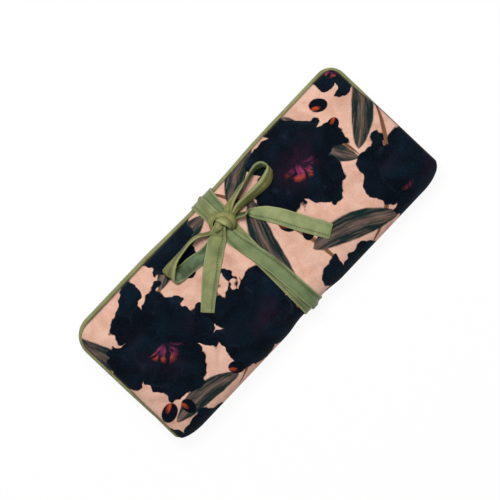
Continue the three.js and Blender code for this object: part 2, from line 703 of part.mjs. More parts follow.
function ringBar() {
  const radius = RING_BAR_DIAMETER / 2;
  const round = evenSteps(0, Math.PI / 2, 3).map((angle) => [
    radius - RING_BAR_END_ROUND * (1 - Math.sin(angle)), RING_BAR_END_ROUND * (1 - Math.cos(angle)),
  ]);
  const profile = [
    [0, 0], ...round, ...[...round].reverse().map(([r, h]) => [r, RING_BAR_LENGTH - h]), [0, RING_BAR_LENGTH],
  ].map(([r, h]) => new THREE.Vector2(r, h));
  const geometry = mergedBody(new THREE.LatheGeometry(profile, 16));
  return geometry.rotateZ(-Math.PI / 2).translate(RING_BAR_START_X, RING_BAR_Y, TOP - BAR_DEPTH);
}

function addFlapFittings() {
  add('slip_pocket_panel', slipPocket(), SAGE_LINING);
  add('slip_pocket_binding', box(-LEVEL_LENGTH, LEVEL_LENGTH, BINDING_START, BINDING_START + BINDING_WIDTH,
    TOP - SLIP_FACE - BINDING_THICKNESS, TOP - SLIP_FACE), SAGE_PIPING);
  const patchX = RING_BAR_START_X + PATCH_DIAMETER / 2;
  add('ring_bar_patch', disc(PATCH_DIAMETER, patchX, RING_BAR_Y, LINING_FACE + GAP, PATCH_THICKNESS), SAGE_LINING);
  add('snap_stud', disc(SNAP_DIAMETER, SNAP_X, RING_BAR_Y, LINING_FACE + GAP, SNAP_THICKNESS), GILT);
  add('ring_bar_cushion', ringBar(), SAGE_LINING);
  const socketDepth = BAR_DEPTH - RING_BAR_DIAMETER / 2;
  add('snap_socket', disc(SNAP_DIAMETER, SNAP_X, RING_BAR_Y, socketDepth, SNAP_THICKNESS), GILT);
  const tongueStart = RING_BAR_START_X + RING_BAR_LENGTH + GAP;
  const tongueDepth = socketDepth + SNAP_THICKNESS + GAP;
  add('ring_bar_tongue', box(tongueStart, tongueStart + TONGUE_LENGTH,
    RING_BAR_Y - TONGUE_WIDTH / 2, RING_BAR_Y + TONGUE_WIDTH / 2,
    TOP - tongueDepth - TONGUE_THICKNESS, TOP - tongueDepth), SAGE_LINING);
}

addLayers();
addPiping();
addPockets();
addZip('lower', LOWER_ZIP_Y);
addZip('upper', UPPER_ZIP_Y);
addFlapFittings();
addTie();

export default part;
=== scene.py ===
"""Jewellery roll: padded panels in printed velvet, folded shut and tied with a sateen bow.

Every piece is built in metres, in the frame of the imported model: +X runs along the roll, +Y to
its open edge and +Z up through the closed roll. The flap is the upper panel and the back the
lower one. Cloth coordinates are u along the roll and v across the cloth, with v zero at the
middle of the spine, positive on the flap and negative on the back.
"""

import logging
import math
from dataclasses import dataclass, replace
from enum import Enum
from typing import Callable, Iterable, Optional, Sequence, Union

import bpy
import numpy as np
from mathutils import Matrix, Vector


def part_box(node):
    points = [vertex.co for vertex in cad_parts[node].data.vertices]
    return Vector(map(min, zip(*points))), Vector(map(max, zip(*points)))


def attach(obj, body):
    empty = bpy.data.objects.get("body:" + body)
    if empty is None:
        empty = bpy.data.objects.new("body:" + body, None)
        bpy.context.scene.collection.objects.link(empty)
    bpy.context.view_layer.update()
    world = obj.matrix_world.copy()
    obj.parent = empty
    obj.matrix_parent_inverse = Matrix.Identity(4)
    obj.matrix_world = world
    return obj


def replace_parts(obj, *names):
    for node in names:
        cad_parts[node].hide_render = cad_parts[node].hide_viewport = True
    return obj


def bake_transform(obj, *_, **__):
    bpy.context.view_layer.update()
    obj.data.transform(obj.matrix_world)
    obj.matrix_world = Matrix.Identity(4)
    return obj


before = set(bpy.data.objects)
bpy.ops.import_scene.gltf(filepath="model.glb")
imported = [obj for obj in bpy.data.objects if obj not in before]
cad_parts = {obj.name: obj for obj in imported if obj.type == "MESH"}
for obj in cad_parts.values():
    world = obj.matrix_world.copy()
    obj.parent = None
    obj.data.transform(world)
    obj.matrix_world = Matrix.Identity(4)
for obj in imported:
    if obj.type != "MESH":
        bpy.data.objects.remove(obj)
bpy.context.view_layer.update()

Array = np.ndarray
Tone = tuple[float, float, float, float]
Value = Union["Wire", float]
Pair = tuple[float, float]
MM = 0.001
CLOTH_MAP = "cloth"
CLOTH_FRAMES = 20
CLOTH_SETTINGS = {"quality": 6, "mass": 0.0004, "tension_stiffness": 12, "compression_stiffness": 12,
                  "shear_stiffness": 6, "bending_stiffness": 0.02, "vertex_group_mass": "held",
                  "shrink_min": -0.012, "use_pressure": True, "uniform_pressure_force": 4.0}

log = logging.getLogger("jewellery_roll")


class Side(Enum):
    """The two panels of the roll. The value is the sign of the cloth coordinate v."""

    FLAP = 1
    BACK = -1

    @property
    def body(self) -> str:
        """Name of the body that the panel is."""
        return self.name.lower()


def tone(red: int, green: int, blue: int) -> Tone:
    """Colour for a shader.

    Args:
        red: red from 0 to 255, as seen on a screen.
        green: green from 0 to 255.
        blue: blue from 0 to 255.

    Returns:
        The linear colour with full opacity.
    """
    shares = np.array((red, green, blue)) / 255
    linear = np.where(shares <= 0.04045, shares / 12.92, ((shares + 0.055) / 1.055) ** 2.4)
    return (*linear.tolist(), 1.0)


def smooth(share: Array) -> Array:
    """Smooth step from 0 to 1."""
    t = np.clip(share, 0.0, 1.0)
    return t * t * (3 - 2 * t)


def unit(vectors: Array) -> Array:
    """The same directions with length one."""
    return vectors / np.maximum(np.linalg.norm(vectors, axis=-1, keepdims=True), 1e-12)


def run_along(path: Array) -> Array:
    """Distance from the first point of a path to each of its points."""
    return np.concatenate([[0.0], np.cumsum(np.linalg.norm(np.diff(path, axis=0), axis=1))])


def read_at(places: Array, run: Array, rows: Array) -> Array:
    """Rows that are known at each place of a run, read at other places."""
    return np.column_stack([np.interp(places, run, column) for column in rows.T])


def net_of(*parts: Array) -> Array:
    """Points from their coordinates, of which some may be plain numbers."""
    return np.stack(np.broadcast_arrays(*parts), axis=-1)


def grid(first: Array, second: Array) -> Array:
    """Every pair of a first and a second coordinate, rows by columns."""
    return np.stack(np.meshgrid(first, second, indexing="ij"), axis=-1)


def between(net: Array, i: Array, j: Array) -> Array:
    """Values of a net, read between its rows and columns.

    Args:
        net: one value or one point for each row and column.
        i: rows wanted, with their fractions.
        j: columns wanted, with their fractions.

    Returns:
        The values, each mixed from its four neighbours.
    """
    i, j = np.clip(i, 0, net.shape[0] - 1), np.clip(j, 0, net.shape[1] - 1)
    i0, j0 = np.minimum(i.astype(int), net.shape[0] - 2), np.minimum(j.astype(int), net.shape[1] - 2)
    a, b = i - i0, j - j0
    if net.ndim == 3:
        a, b = a[..., None], b[..., None]
    return ((1 - a) * (1 - b) * net[i0, j0] + a * (1 - b) * net[i0 + 1, j0]
            + (1 - a) * b * net[i0, j0 + 1] + a * b * net[i0 + 1, j0 + 1])


def spline(knots: Sequence[Sequence[float]], count: int, measured: slice = slice(None)) -> Array:
    """Smooth curve through points, in even steps.

    Args:
        knots: the points, with any number of values each.
        count: how many points to return.
        measured: which of the values the length is measured in.

    Returns:
        The points of the curve, one row each.
    """
    points = np.asarray(knots, float)
    ends = np.vstack([2 * points[0] - points[1], points, 2 * points[-1] - points[-2]])
    t = np.linspace(0, 1, 20, endpoint=False)[:, None]
    pieces = []
    for p0, p1, p2, p3 in zip(ends, ends[1:], ends[2:], ends[3:]):
        square = (2 * p0 - 5 * p1 + 4 * p2 - p3) * t**2
        cube = (3 * p1 - p0 - 3 * p2 + p3) * t**3
        pieces.append((2 * p1 + (p2 - p0) * t + square + cube) / 2)
    fine = np.vstack([*pieces, points[-1:]])
    run = run_along(fine[:, measured])
    return read_at(np.linspace(0, run[-1], count), run, fine)


def ripples(x: Array, y: Array, length: float, seed: int) -> Array:
    """Gentle random waves between about -1 and 1.

    Args:
        x: first coordinate.
        y: second coordinate.
        length: length of the shortest waves.
        seed: chooses the pattern.

    Returns:
        The height of the waves at each point.
    """
    random = np.random.default_rng(seed)
    total = np.zeros(np.broadcast(x, y).shape)
    for _ in range(6):
        angle, phase = random.uniform(0, 2 * math.pi, 2)
        pace = 2 * math.pi / (length * random.uniform(1, 2.6))
        total += np.sin(pace * (x * math.cos(angle) + y * math.sin(angle)) + phase)
    return total / 3.2


def net_normals(net: Array) -> Array:
    """Unit normals of a net of points with two running directions."""
    return unit(np.cross(np.gradient(net, axis=0), np.gradient(net, axis=1)))


def quads(net: Array) -> Array:
    """The four-sided faces between the neighbours of a net of point numbers."""
    corners = (net[:-1, :-1], net[1:, :-1], net[1:, 1:], net[:-1, 1:])
    return np.stack(corners, axis=-1).reshape(-1, 4)


def circle(sides: int) -> tuple[Array, Array]:
    """Cosines and sines of even steps round a circle."""
    angles = np.linspace(0, 2 * math.pi, sides, endpoint=False)
    return np.cos(angles), np.sin(angles)


def rings_about(path: Array, radii: Array, first: Array, second: Array) -> Array:
    """Rings of points about a path.

    Args:
        path: middles of the rings.
        radii: a row of radii for each ring.
        first: direction from each middle to its ring's first point.
        second: direction a quarter turn further on.

    Returns:
        The points, ring by ring.
    """
    cosines, sines = (values[:, None] for values in circle(radii.shape[1]))
    return path[:, None] + radii[..., None] * (first[:, None] * cosines + second[:, None] * sines)


def ring_faces(rings: int, sides: int, pointed: bool = True) -> list[list[int]]:
    """Faces of a closed body made of rings of points.

    Args:
        rings: how many rings there are.
        sides: points of each ring.
        pointed: whether each end closes on a middle point, numbered after the rings, or is flat.

    Returns:
        Rows of point numbers, all the same way round.
    """
    net = np.arange(rings * sides).reshape(rings, sides)
    net = np.column_stack([net, net[:, 0]])
    walls = quads(net).tolist()
    if not pointed:
        return [*walls, net[0, :-1].tolist(), net[-1, -2::-1].tolist()]
    start = [(rings * sides, a, b) for a, b in zip(net[0], net[0, 1:])]
    end = [(rings * sides + 1, b, a) for a, b in zip(net[-1], net[-1, 1:])]
    return [*walls, *start, *end]


def copies(faces: Sequence[Sequence[int]], times: int, points: int) -> list[list[int]]:
    """Faces for several copies of a body, each of so many points."""
    return [[corner + copy * points for corner in face] for copy in range(times) for face in faces]


def linked(name: str, data: bpy.types.ID) -> bpy.types.Object:
    """A new object of the scene that holds the data."""
    thing = bpy.data.objects.new(name, data)
    bpy.context.scene.collection.objects.link(thing)
    return thing


def make_piece(name: str, points: Array, faces: Iterable[Sequence[int]],
               uv: Optional[Array] = None) -> bpy.types.Object:
    """A smooth mesh object in the scene, with its faces turned outwards.

    Args:
        name: name of the piece.
        points: its points, one row each.
        faces: rows of point numbers.
        uv: cloth coordinates of each point, if the finish needs them.

    Returns:
        The new object.
    """
    faces = [list(map(int, face)) for face in faces]
    fans = np.array([(face[0], *pair) for face in faces for pair in zip(face[1:], face[2:])])
    a, b, c = (points[fans[:, k]] for k in range(3))
    if (a * np.cross(b, c)).sum() < 0:
        faces = [face[::-1] for face in faces]
    mesh = bpy.data.meshes.new(name)
    mesh.from_pydata(points.tolist(), [], faces)
    if uv is not None:
        numbers = np.zeros(len(mesh.loops), int)
        mesh.loops.foreach_get("vertex_index", numbers)
        layer = mesh.uv_layers.new(name=CLOTH_MAP)
        layer.data.foreach_set("uv", uv[numbers].astype(np.float32).ravel())
    mesh.shade_smooth()
    log.info("%s: %d faces", name, len(faces))
    return linked(name, mesh)


def shell(name: str, outer: Array, inner: Array, uv: Array, reverse: float = 0.0) -> bpy.types.Object:
    """A closed sheet between two nets of points.

    Args:
        name: name of the piece.
        outer: points of one face, rows by columns.
        inner: points of the other face.
        uv: cloth coordinates of the net.
        reverse: added to the inner face's second coordinate, so that a finish can tell it apart.

    Returns:
        The new object.
    """
    rows, columns = outer.shape[:2]
    top = np.arange(rows * columns).reshape(rows, columns)
    below = top + rows * columns
    rims = [np.stack([top[0], below[0]]), np.stack([below[-1], top[-1]]),
            np.stack([below[:, 0], top[:, 0]]), np.stack([top[:, -1], below[:, -1]])]
    faces = np.vstack([quads(top), quads(below)[:, ::-1], *(quads(rim)[:, ::-1] for rim in rims)])
    points = np.vstack([outer.reshape(-1, 3), inner.reshape(-1, 3)])
    flat = uv.reshape(-1, 2)
    return make_piece(name, points, faces, np.vstack([flat, flat + (0, reverse)]))


def swept(name: str, path: Array, radii: Array, sides: int = 12) -> bpy.types.Object:
    """A closed round body along a path.

    Args:
        name: name of the piece.
        path: the points that it follows.
        radii: its radius at each point, or a row of radii round the section.
        sides: sides of the section.

    Returns:
        The new object, with cloth coordinates along and round the body.
    """
    radii = np.broadcast_to(np.asarray(radii, float).reshape(len(path), -1), (len(path), sides))
    along = unit(np.gradient(path, axis=0))
    across = np.cross(along[0], (0.0, 0.0, 1.0))
    if np.linalg.norm(across) < 0.3:
        across = np.cross(along[0], (0.0, 1.0, 0.0))
    first = np.zeros_like(along)
    for row, direction in enumerate(along):
        across = unit(across - direction * np.dot(across, direction))
        first[row] = across
    rings = rings_about(path, radii, first, np.cross(along, first))
    run = run_along(path)
    around = np.linspace(0, 1, sides, endpoint=False) * 2 * math.pi * float(radii.mean())
    points = np.vstack([rings.reshape(-1, 3), path[[0, -1]]])
    uv = np.vstack([grid(run, around).reshape(-1, 2), [[0.0, 0.0], [run[-1], 0.0]]])
    return make_piece(name, points, ring_faces(len(path), sides), uv)


def turned(name: str, profile: Sequence[Pair], origin: Sequence[float], sides: int = 40) -> bpy.types.Object:
    """A body turned about an upright axis.

    Args:
        name: name of the piece.
        profile: radius and height of each point, from axis to axis.
        origin: where the profile's zero lies.
        sides: sides of the turned form.

    Returns:
        The new object.
    """
    radii, heights = np.array(profile[1:-1]).T
    cosines, sines = circle(sides)
    rings = net_of(np.outer(radii, cosines), np.outer(radii, sines), heights[:, None])
    ends = net_of(0.0, 0.0, [profile[0][1], profile[-1][1]])
    points = np.vstack([rings.reshape(-1, 3), ends]) + np.asarray(origin)
    return make_piece(name, points, ring_faces(len(radii), sides), points[:, :2])


def round_edges(piece: bpy.types.Object, width: float, segments: int = 2) -> bpy.types.Object:
    """Rounds the sharp edges of a piece.

    Args:
        piece: the piece.
        width: how far the rounding reaches from the edge.
        segments: faces across the rounding.

    Returns:
        The same piece.
    """
    bevel = piece.modifiers.new("rounding", "BEVEL")
    bevel.width = width
    bevel.segments = segments
    bevel.limit_method = "ANGLE"
    return piece


def block(name: str, low: Sequence[float], high: Sequence[float], rounding: float) -> bpy.types.Object:
    """A small block with rounded edges.

    Args:
        name: name of the piece.
        low: its low corner.
        high: its high corner.
        rounding: width of the rounding.

    Returns:
        The new object.
    """
    low, high = np.asarray(low, float), np.asarray(high, float)
    share = np.array([(x, y, z) for z in (0, 1) for y in (0, 1) for x in (0, 1)], float)
    faces = [(0, 2, 3, 1), (4, 5, 7, 6), (0, 1, 5, 4), (2, 6, 7, 3), (0, 4, 6, 2), (1, 3, 7, 5)]
    return round_edges(make_piece(name, low + share * (high - low), faces), rounding, 3)


def joined(name: str, pieces: Sequence[bpy.types.Object]) -> bpy.types.Object:
    """Several pieces as one object, with their modifiers applied.

    Args:
        name: name of the new piece.
        pieces: what it is made of.

    Returns:
        The first piece, with the others in it.
    """
    bpy.ops.object.select_all(action="DESELECT")
    for piece in pieces:
        piece.select_set(True)
        bpy.context.view_layer.objects.active = piece
        for modifier in list(piece.modifiers):
            bpy.ops.object.modifier_apply(modifier=modifier.name)
    bpy.context.view_layer.objects.active = pieces[0]
    bpy.ops.object.join()
    pieces[0].name = pieces[0].data.name = name
    return pieces[0]


def dress(piece: bpy.types.Object, material: bpy.types.Material) -> bpy.types.Object:
    """Gives a piece its material.

    Args:
        piece: the piece.
        material: its finish.

    Returns:
        The same piece.
    """
    piece.data.materials.clear()
    piece.data.materials.append(material)
    return piece


def fit(piece: bpy.types.Object, material: bpy.types.Material, node: str, body: str) -> None:
    """Dresses a piece and puts it in the place of a solid.

    Args:
        piece: the piece.
        material: its finish.
        node: the solid.
        body: the body that carries it.
    """
    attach(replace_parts(dress(piece, material), node), body)


def room(node: str) -> tuple[Vector, Vector, Array, Array]:
    """Low corner, high corner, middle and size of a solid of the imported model."""
    low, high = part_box(node)
    return low, high, (np.array(low) + np.array(high)) / 2, np.array(high) - np.array(low)


@dataclass(frozen=True)
class Stitch:
    """One sewing stitch and how far apart they are."""

    length: float = 1.7 * MM
    pitch: float = 2.4 * MM
    thickness: float = 0.3 * MM
    bluntness: float = 0.93
    rings: int = 5
    sides: int = 6

    def bodies(self, line: Array, normals: Array) -> Array:
        """Points of the stitches along a line on a cloth.

        Args:
            line: points of the line.
            normals: direction out of the cloth at each point.

        Returns:
            The points, stitch by stitch.
        """
        run = run_along(line)
        places = np.arange(self.pitch / 2, run[-1] - self.length / 2, self.pitch)
        rows = (line, unit(np.gradient(line, axis=0)), normals)
        at, along, out = (read_at(places, run, row) for row in rows)
        along, out = unit(along), unit(out)
        shares = np.linspace(-1, 1, self.rings)
        path = at[:, None] + along[:, None] * shares[:, None] * self.length / 2
        radii = np.sqrt(1 - (shares * self.bluntness) ** 2) * self.thickness / 2
        radii = np.tile(radii[:, None], (len(at), self.sides))
        first, second = (np.repeat(row, self.rings, axis=0) for row in (np.cross(out, along), out))
        return rings_about(path.reshape(-1, 3), radii, first, second).reshape(-1, 3)

    def sew(self, name: str, lines: Sequence[Array], out: Array, thread: bpy.types.Material, slot: str,
            body: str) -> None:
        """Sews rows of stitches as one piece.

        Args:
            name: name of the piece.
            lines: points of each row.
            out: direction out of the cloth, for all points or for each.
            thread: the thread's material.
            slot: not used.
            body: the body that carries them.
        """
        points = np.vstack([self.bodies(line, np.broadcast_to(out, line.shape)) for line in lines])
        size = self.rings * self.sides
        faces = copies(ring_faces(self.rings, self.sides, False), len(points) // size, size)
        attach(dress(make_piece(name, points, faces), thread), body)


def arithmetic(operation: str) -> Callable[["Wire", Value], "Wire"]:
    """The method of a wire that adds a Math node."""
    return lambda wire, other: wire.canvas.math(operation, wire, other)


class Wire:
    """A value inside a material, with ordinary arithmetic."""

    __add__ = __radd__ = arithmetic("ADD")
    __sub__ = arithmetic("SUBTRACT")
    __mul__ = __rmul__ = arithmetic("MULTIPLY")
    __truediv__ = arithmetic("DIVIDE")
    __pow__ = arithmetic("POWER")

    def __init__(self, canvas: "Canvas", socket: bpy.types.NodeSocket) -> None:
        """Keeps the socket that carries the value."""
        self.canvas = canvas
        self.socket = socket

    def __rsub__(self, other: float) -> "Wire":
        """Difference from a number."""
        return self.canvas.math("SUBTRACT", other, self)

    def clamped(self) -> "Wire":
        """The value, kept between 0 and 1."""
        return self.canvas.math("ADD", self, 0.0, clamp=True)

    def step(self, start: float, end: float) -> "Wire":
        """0 at start and 1 at end, with a straight slope between them."""
        return self.canvas.math("DIVIDE", self - start, end - start, clamp=True)

    def size(self) -> "Wire":
        """The value without its sign."""
        return self.canvas.math("ABSOLUTE", self)


class Canvas:
    """A node tree, with short calls for the nodes that the finishes use."""

    def __init__(self, tree: bpy.types.NodeTree) -> None:
        """Keeps the tree."""
        self.tree = tree

    def put(self, socket: bpy.types.NodeSocket, value: Union[Value, Tone]) -> None:
        """Links a wire to a socket, or sets the socket to a plain value."""
        if isinstance(value, Wire):
            self.tree.links.new(value.socket, socket)
        else:
            socket.default_value = value

    def node(self, kind: str, *values: Value, **named: Union[Value, Tone]) -> bpy.types.Node:
        """A new node.

        Args:
            kind: its type, without the word Shader or Node.
            values: what its first inputs take.
            named: what its inputs of these names take.

        Returns:
            The node.
        """
        node = self.tree.nodes.new(f"ShaderNode{kind}")
        for socket, value in zip(node.inputs, values):
            self.put(socket, value)
        for name, value in named.items():
            self.put(node.inputs[name], value)
        return node

    def math(self, operation: str, *values: Value, clamp: bool = False) -> Wire:
        """Result of a Math node.

        Args:
            operation: what it does.
            values: what it does this with.
            clamp: whether the result is kept between 0 and 1.

        Returns:
            The result.
        """
        node = self.node("Math", *values)
        node.operation = operation
        node.use_clamp = clamp
        return Wire(self, node.outputs[0])

    def mix(self, share: Value, first: Union[Wire, Tone], second: Union[Wire, Tone]) -> Wire:
        """Mixes two colours.

        Args:
            share: how much of the second there is, from 0 to 1.
            first: the first colour.
            second: the second colour.

        Returns:
            The mixed colour.
        """
        node = self.node("Mix", share)
        node.data_type = "RGBA"
        self.put(node.inputs[6], first)
        self.put(node.inputs[7], second)
        return Wire(self, node.outputs[2])

    def split(self, vector: Wire) -> list[Wire]:
        """The three values of a vector."""
        return [Wire(self, socket) for socket in self.node("SeparateXYZ", vector).outputs]

    def cloth(self) -> list[Wire]:
        """Cloth coordinates along and across, in metres."""
        node = self.node("UVMap")
        node.uv_map = CLOTH_MAP
        return self.split(Wire(self, node.outputs[0]))[:2]

    def place(self) -> Wire:
        """Position in the piece's own space, in metres."""
        return Wire(self, self.node("TexCoord").outputs["Object"])

    def vector(self, x: Value, y: Value, z: Value = 0.0) -> Wire:
        """Three values as one vector."""
        return Wire(self, self.node("CombineXYZ", x, y, z).outputs[0])

    def noise(self, at: Wire, scale: float, detail: float = 2.0, distortion: float = 0.0) -> Wire:
        """Soft noise between 0 and 1, with a feature each 1 / scale metres."""
        node = self.node("TexNoise", Vector=at, Scale=scale, Detail=detail, Distortion=distortion)
        return Wire(self, node.outputs[0])

    def wave(self, at: Value, length: float) -> Wire:
        """A wave between -1 and 1 that repeats each length."""
        return self.math("SINE", at * (2 * math.pi / length))

    def occlusion_for_painted_shade(self, reach: float) -> Wire:
        """0 in the open, towards 1 where other surfaces stand closer than the reach; the finishes paint shade
        with it.
        """
        node = self.node("AmbientOcclusion", Distance=reach)
        node.samples = 6
        return 1 - Wire(self, node.outputs["AO"])


class Surface(Canvas):
    """The node tree of one material."""

    def __init__(self, name: str) -> None:
        """Makes an empty material with a Principled shader."""
        self.material = bpy.data.materials.new(name)
        self.material.use_nodes = True
        super().__init__(self.material.node_tree)
        self.tree.nodes.clear()
        self.shader = self.node("BsdfPrincipled")
        self.tree.links.new(self.shader.outputs["BSDF"], self.node("OutputMaterial").inputs["Surface"])

    def bump(self, height: Wire, depth: float, strength: float = 1.0) -> None:
        """Raises the surface by up to depth where height is 1."""
        node = self.node("Bump", Strength=strength, Distance=depth, Height=height)
        self.tree.links.new(node.outputs[0], self.shader.inputs["Normal"])

    def finish(self, colour: Union[Wire, Tone], roughness: Value,
               **sockets: Union[float, Tone]) -> bpy.types.Material:
        """Sets the shader's own sockets.

        Args:
            colour: the base colour.
            roughness: the roughness.
            sockets: other sockets by name, with an underscore for each blank.

        Returns:
            The material.
        """
        self.put(self.shader.inputs["Base Color"], colour)
        self.put(self.shader.inputs["Roughness"], roughness)
        for name, value in sockets.items():
            self.shader.inputs[name.replace("_", " ")].default_value = value
        return self.material


class Motif(Canvas):
    """A motif of the print as a node group, drawn once and placed many times."""

    def __init__(self, name: str, settings: Sequence[str]) -> None:
        """Makes the group.

        Args:
            name: name of the group.
            settings: names of its plain number inputs.
        """
        super().__init__(bpy.data.node_groups.new(name, "ShaderNodeTree"))
        face = self.tree.interface
        for title in ("u", "v", "ruffle", *settings):
            face.new_socket(name=title, in_out="INPUT", socket_type="NodeSocketFloat")
        face.new_socket(name="where", in_out="OUTPUT", socket_type="NodeSocketFloat")
        face.new_socket(name="shade", in_out="OUTPUT", socket_type="NodeSocketColor")
        given = self.tree.nodes.new("NodeGroupInput")
        self.given = {socket.name: Wire(self, socket) for socket in given.outputs if socket.name}

    def close(self, where: Wire, shade: Wire) -> "Motif":
        """Joins the drawing to the group's outputs."""
        out = self.tree.nodes.new("NodeGroupOutput")
        self.put(out.inputs["where"], where)
        self.put(out.inputs["shade"], shade)
        return self

    def stamp(self, canvas: Canvas, under: Wire, u: Wire, v: Wire, ruffle: Wire, **settings: float) -> Wire:
        """Lays the motif over a colour.

        Args:
            canvas: the material.
            under: the colour below.
            u: cloth coordinate along the roll.
            v: cloth coordinate across it.
            ruffle: noise that makes edges uneven.
            settings: values of the group's number inputs.

        Returns:
            The colour with the motif.
        """
        node = canvas.node("Group")
        node.node_tree = self.tree
        for name, value in {"u": u, "v": v, "ruffle": ruffle, **settings}.items():
            canvas.put(node.inputs[name], value)
        where, shade = (Wire(canvas, node.outputs[name]) for name in ("where", "shade"))
        return canvas.mix(where, under, shade)


@dataclass(frozen=True)
class PrintInks:
    """Colours of the printed velvet, with the painted highlights, specks of light and seam shadow laid over
    it.
    """

    blush: Tone = tone(236, 192, 171)
    rose: Tone = tone(205, 152, 130)
    shadow: Tone = tone(176, 132, 114)
    dark: Tone = tone(2, 7, 18)
    # painted highlight of the velvet's pile: teal that the dark ink takes in cloud patches
    painted_sheen: Tone = tone(12, 31, 45)
    edge: Tone = tone(42, 50, 64)
    # painted specks of light on the velvet's pile
    painted_glint: Tone = tone(40, 74, 88)
    plum: Tone = tone(52, 22, 46)
    magenta: Tone = tone(156, 56, 100)
    ember: Tone = tone(214, 82, 42)
    # painted shadow along the seam, beside the piping
    seam: Tone = tone(62, 46, 38)
    leaf: Tone = tone(20, 40, 38)
    rib: Tone = tone(126, 102, 92)
    stem: Tone = tone(150, 104, 74)
    bark: Tone = tone(74, 52, 42)


def blossom_motif(ink: PrintInks) -> Motif:
    """A dark, ragged flower with teal patches of painted highlight and a few streaks of colour beside its
    middle.
    """
    motif = Motif("blossom", ("middle_u", "middle_v", "reach", "petals", "turn"))
    given = motif.given
    du, dv = given["u"] - given["middle_u"], given["v"] - given["middle_v"]
    at = motif.vector(given["u"], given["v"], given["turn"])
    radius = motif.math("SQRT", du * du + dv * dv) / given["reach"]
    drift = motif.noise(at, 30.0, 3.0)
    angle = motif.math("ARCTAN2", dv, du) + drift * 2.8 + given["turn"]
    lobe = motif.math("COSINE", angle * given["petals"]).size() ** 0.8
    rim = lobe * 0.3 + drift * 0.75 + given["ruffle"] * 0.4 + 0.185
    inner_rim = motif.math("COSINE", angle * given["petals"] + 0.9).size() * 0.2 + drift * 0.3 + 0.26
    vein = motif.noise(motif.vector(angle * 1.6, radius * 1.9, given["turn"]), 1.9, 4.0, 0.8)
    # painted highlight: cloud patches of teal over the dark ink
    cloud = motif.noise(at, 48.0, 5.0, 0.8)
    shade = motif.mix(cloud.step(0.42, 0.72) * 0.66, ink.dark, ink.painted_sheen)
    fold = (1 - (radius - inner_rim).size().step(0.0, 0.05)) * vein.step(0.5, 0.7)
    shade = motif.mix(fold * 0.45, shade, ink.edge)
    flush = (1 - radius.step(0.1, 0.6)) * drift.step(0.5, 0.66)
    shade = motif.mix(flush * vein, shade, ink.plum)
    sector = motif.math("COSINE", angle * 0.5 + given["turn"]).step(0.7, 1.0)
    streak = (1 - (radius - 0.16).size().step(0.02, 0.12)) * vein.step(0.45, 0.62) * sector
    shade = motif.mix(streak * 0.85, shade, ink.magenta)
    flame = (1 - (radius - 0.26).size().step(0.0, 0.07)) * vein.step(0.5, 0.7) * sector.step(0.5, 1.0)
    return motif.close((rim - radius).step(0.0, 0.025), motif.mix(flame, shade, ink.ember))


def leaf_motif(name: str, blade_ink: Tone, rib_ink: Tone) -> Motif:
    """A leaf or stem, pointed at both ends, with a brushed rib."""
    motif = Motif(name, ("foot_u", "foot_v", "cosine", "sine", "length", "half_width", "bend"))
    given = motif.given
    du, dv = given["u"] - given["foot_u"], given["v"] - given["foot_v"]
    along = (du * given["cosine"] + dv * given["sine"]) / given["length"]
    bow = along * (1 - along) * given["bend"] * 4
    across = (dv * given["cosine"] - du * given["sine"] - bow) / given["half_width"]
    inside = motif.math("MAXIMUM", along * (1 - along) * 4, 0.0)
    blade = inside ** 0.6 + given["ruffle"] * 0.3 - across.size()
    grain = motif.noise(motif.vector(along * 2.0, across * 3.2, given["foot_u"] * 50), 2.2, 4.0, 0.4)
    rib = (1 - across.size().step(0.02, 0.42)) * 0.9
    shade = motif.mix((rib * grain.step(0.25, 0.6)).clamped(), blade_ink, rib_ink)
    shade = motif.mix(grain.step(0.5, 0.72) * 0.7, shade, rib_ink)
    return motif.close((blade.step(0.0, 0.12) * inside.step(0.0, 0.02)).clamped(), shade)


def berry_motif(ink: PrintInks) -> Motif:
    """A glossy berry with a lit side."""
    motif = Motif("berry", ("middle_u", "middle_v", "reach", "turn"))
    given = motif.given
    cosine, sine = motif.math("COSINE", given["turn"]), motif.math("SINE", given["turn"])
    du, dv = ((given[axis] - given[f"middle_{axis}"]) / given["reach"] for axis in "uv")
    along, across = du * cosine + dv * sine, (dv * cosine - du * sine) * 1.35
    radius = motif.math("SQRT", along * along + across * across)
    off_along, off_across = along - 0.4, across - 0.35
    lit = 1 - (off_along * off_along * 2.6 + off_across * off_across * 9).step(0.1, 1.0)
    grain = motif.noise(motif.vector(along * 1.2, across * 5.0, given["turn"]), 1.5, 3.0)
    shade = motif.mix(lit * grain.step(0.35, 0.62), ink.dark, ink.ember)
    return motif.close((1 - radius).step(0.0, 0.1), shade)


def blade(foot_u: float, foot_v: float, tip_u: float, tip_v: float, width: float,
          bend: float) -> dict[str, float]:
    """Inputs for a leaf or a stem.

    Args:
        foot_u: its foot along the roll, in millimetres as all the others.
        foot_v: its foot across the cloth.
        tip_u: its tip along the roll.
        tip_v: its tip across the cloth.
        width: its width.
        bend: how far its middle stands to the left of the line from foot to tip.

    Returns:
        The motif's inputs in metres.
    """
    run_u, run_v = tip_u - foot_u, tip_v - foot_v
    length = math.hypot(run_u, run_v)
    return {"foot_u": foot_u * MM, "foot_v": foot_v * MM, "cosine": run_u / length, "sine": run_v / length,
            "length": length * MM, "half_width": width / 2 * MM, "bend": bend * MM}


def head(middle_u: float, middle_v: float, reach: float, turn: float, petals: int = 0) -> dict[str, float]:
    """Inputs for a blossom or a berry.

    Args:
        middle_u: its middle along the roll, in millimetres.
        middle_v: its middle across the cloth, in millimetres.
        reach: how far it reaches from its middle, in millimetres.
        turn: its turn in radians.
        petals: how many petals it has, or 0 for a berry.

    Returns:
        The motif's inputs in metres.
    """
    inputs = {"middle_u": middle_u * MM, "middle_v": middle_v * MM, "reach": reach * MM, "turn": turn}
    return {**inputs, "petals": petals / 2} if petals else inputs


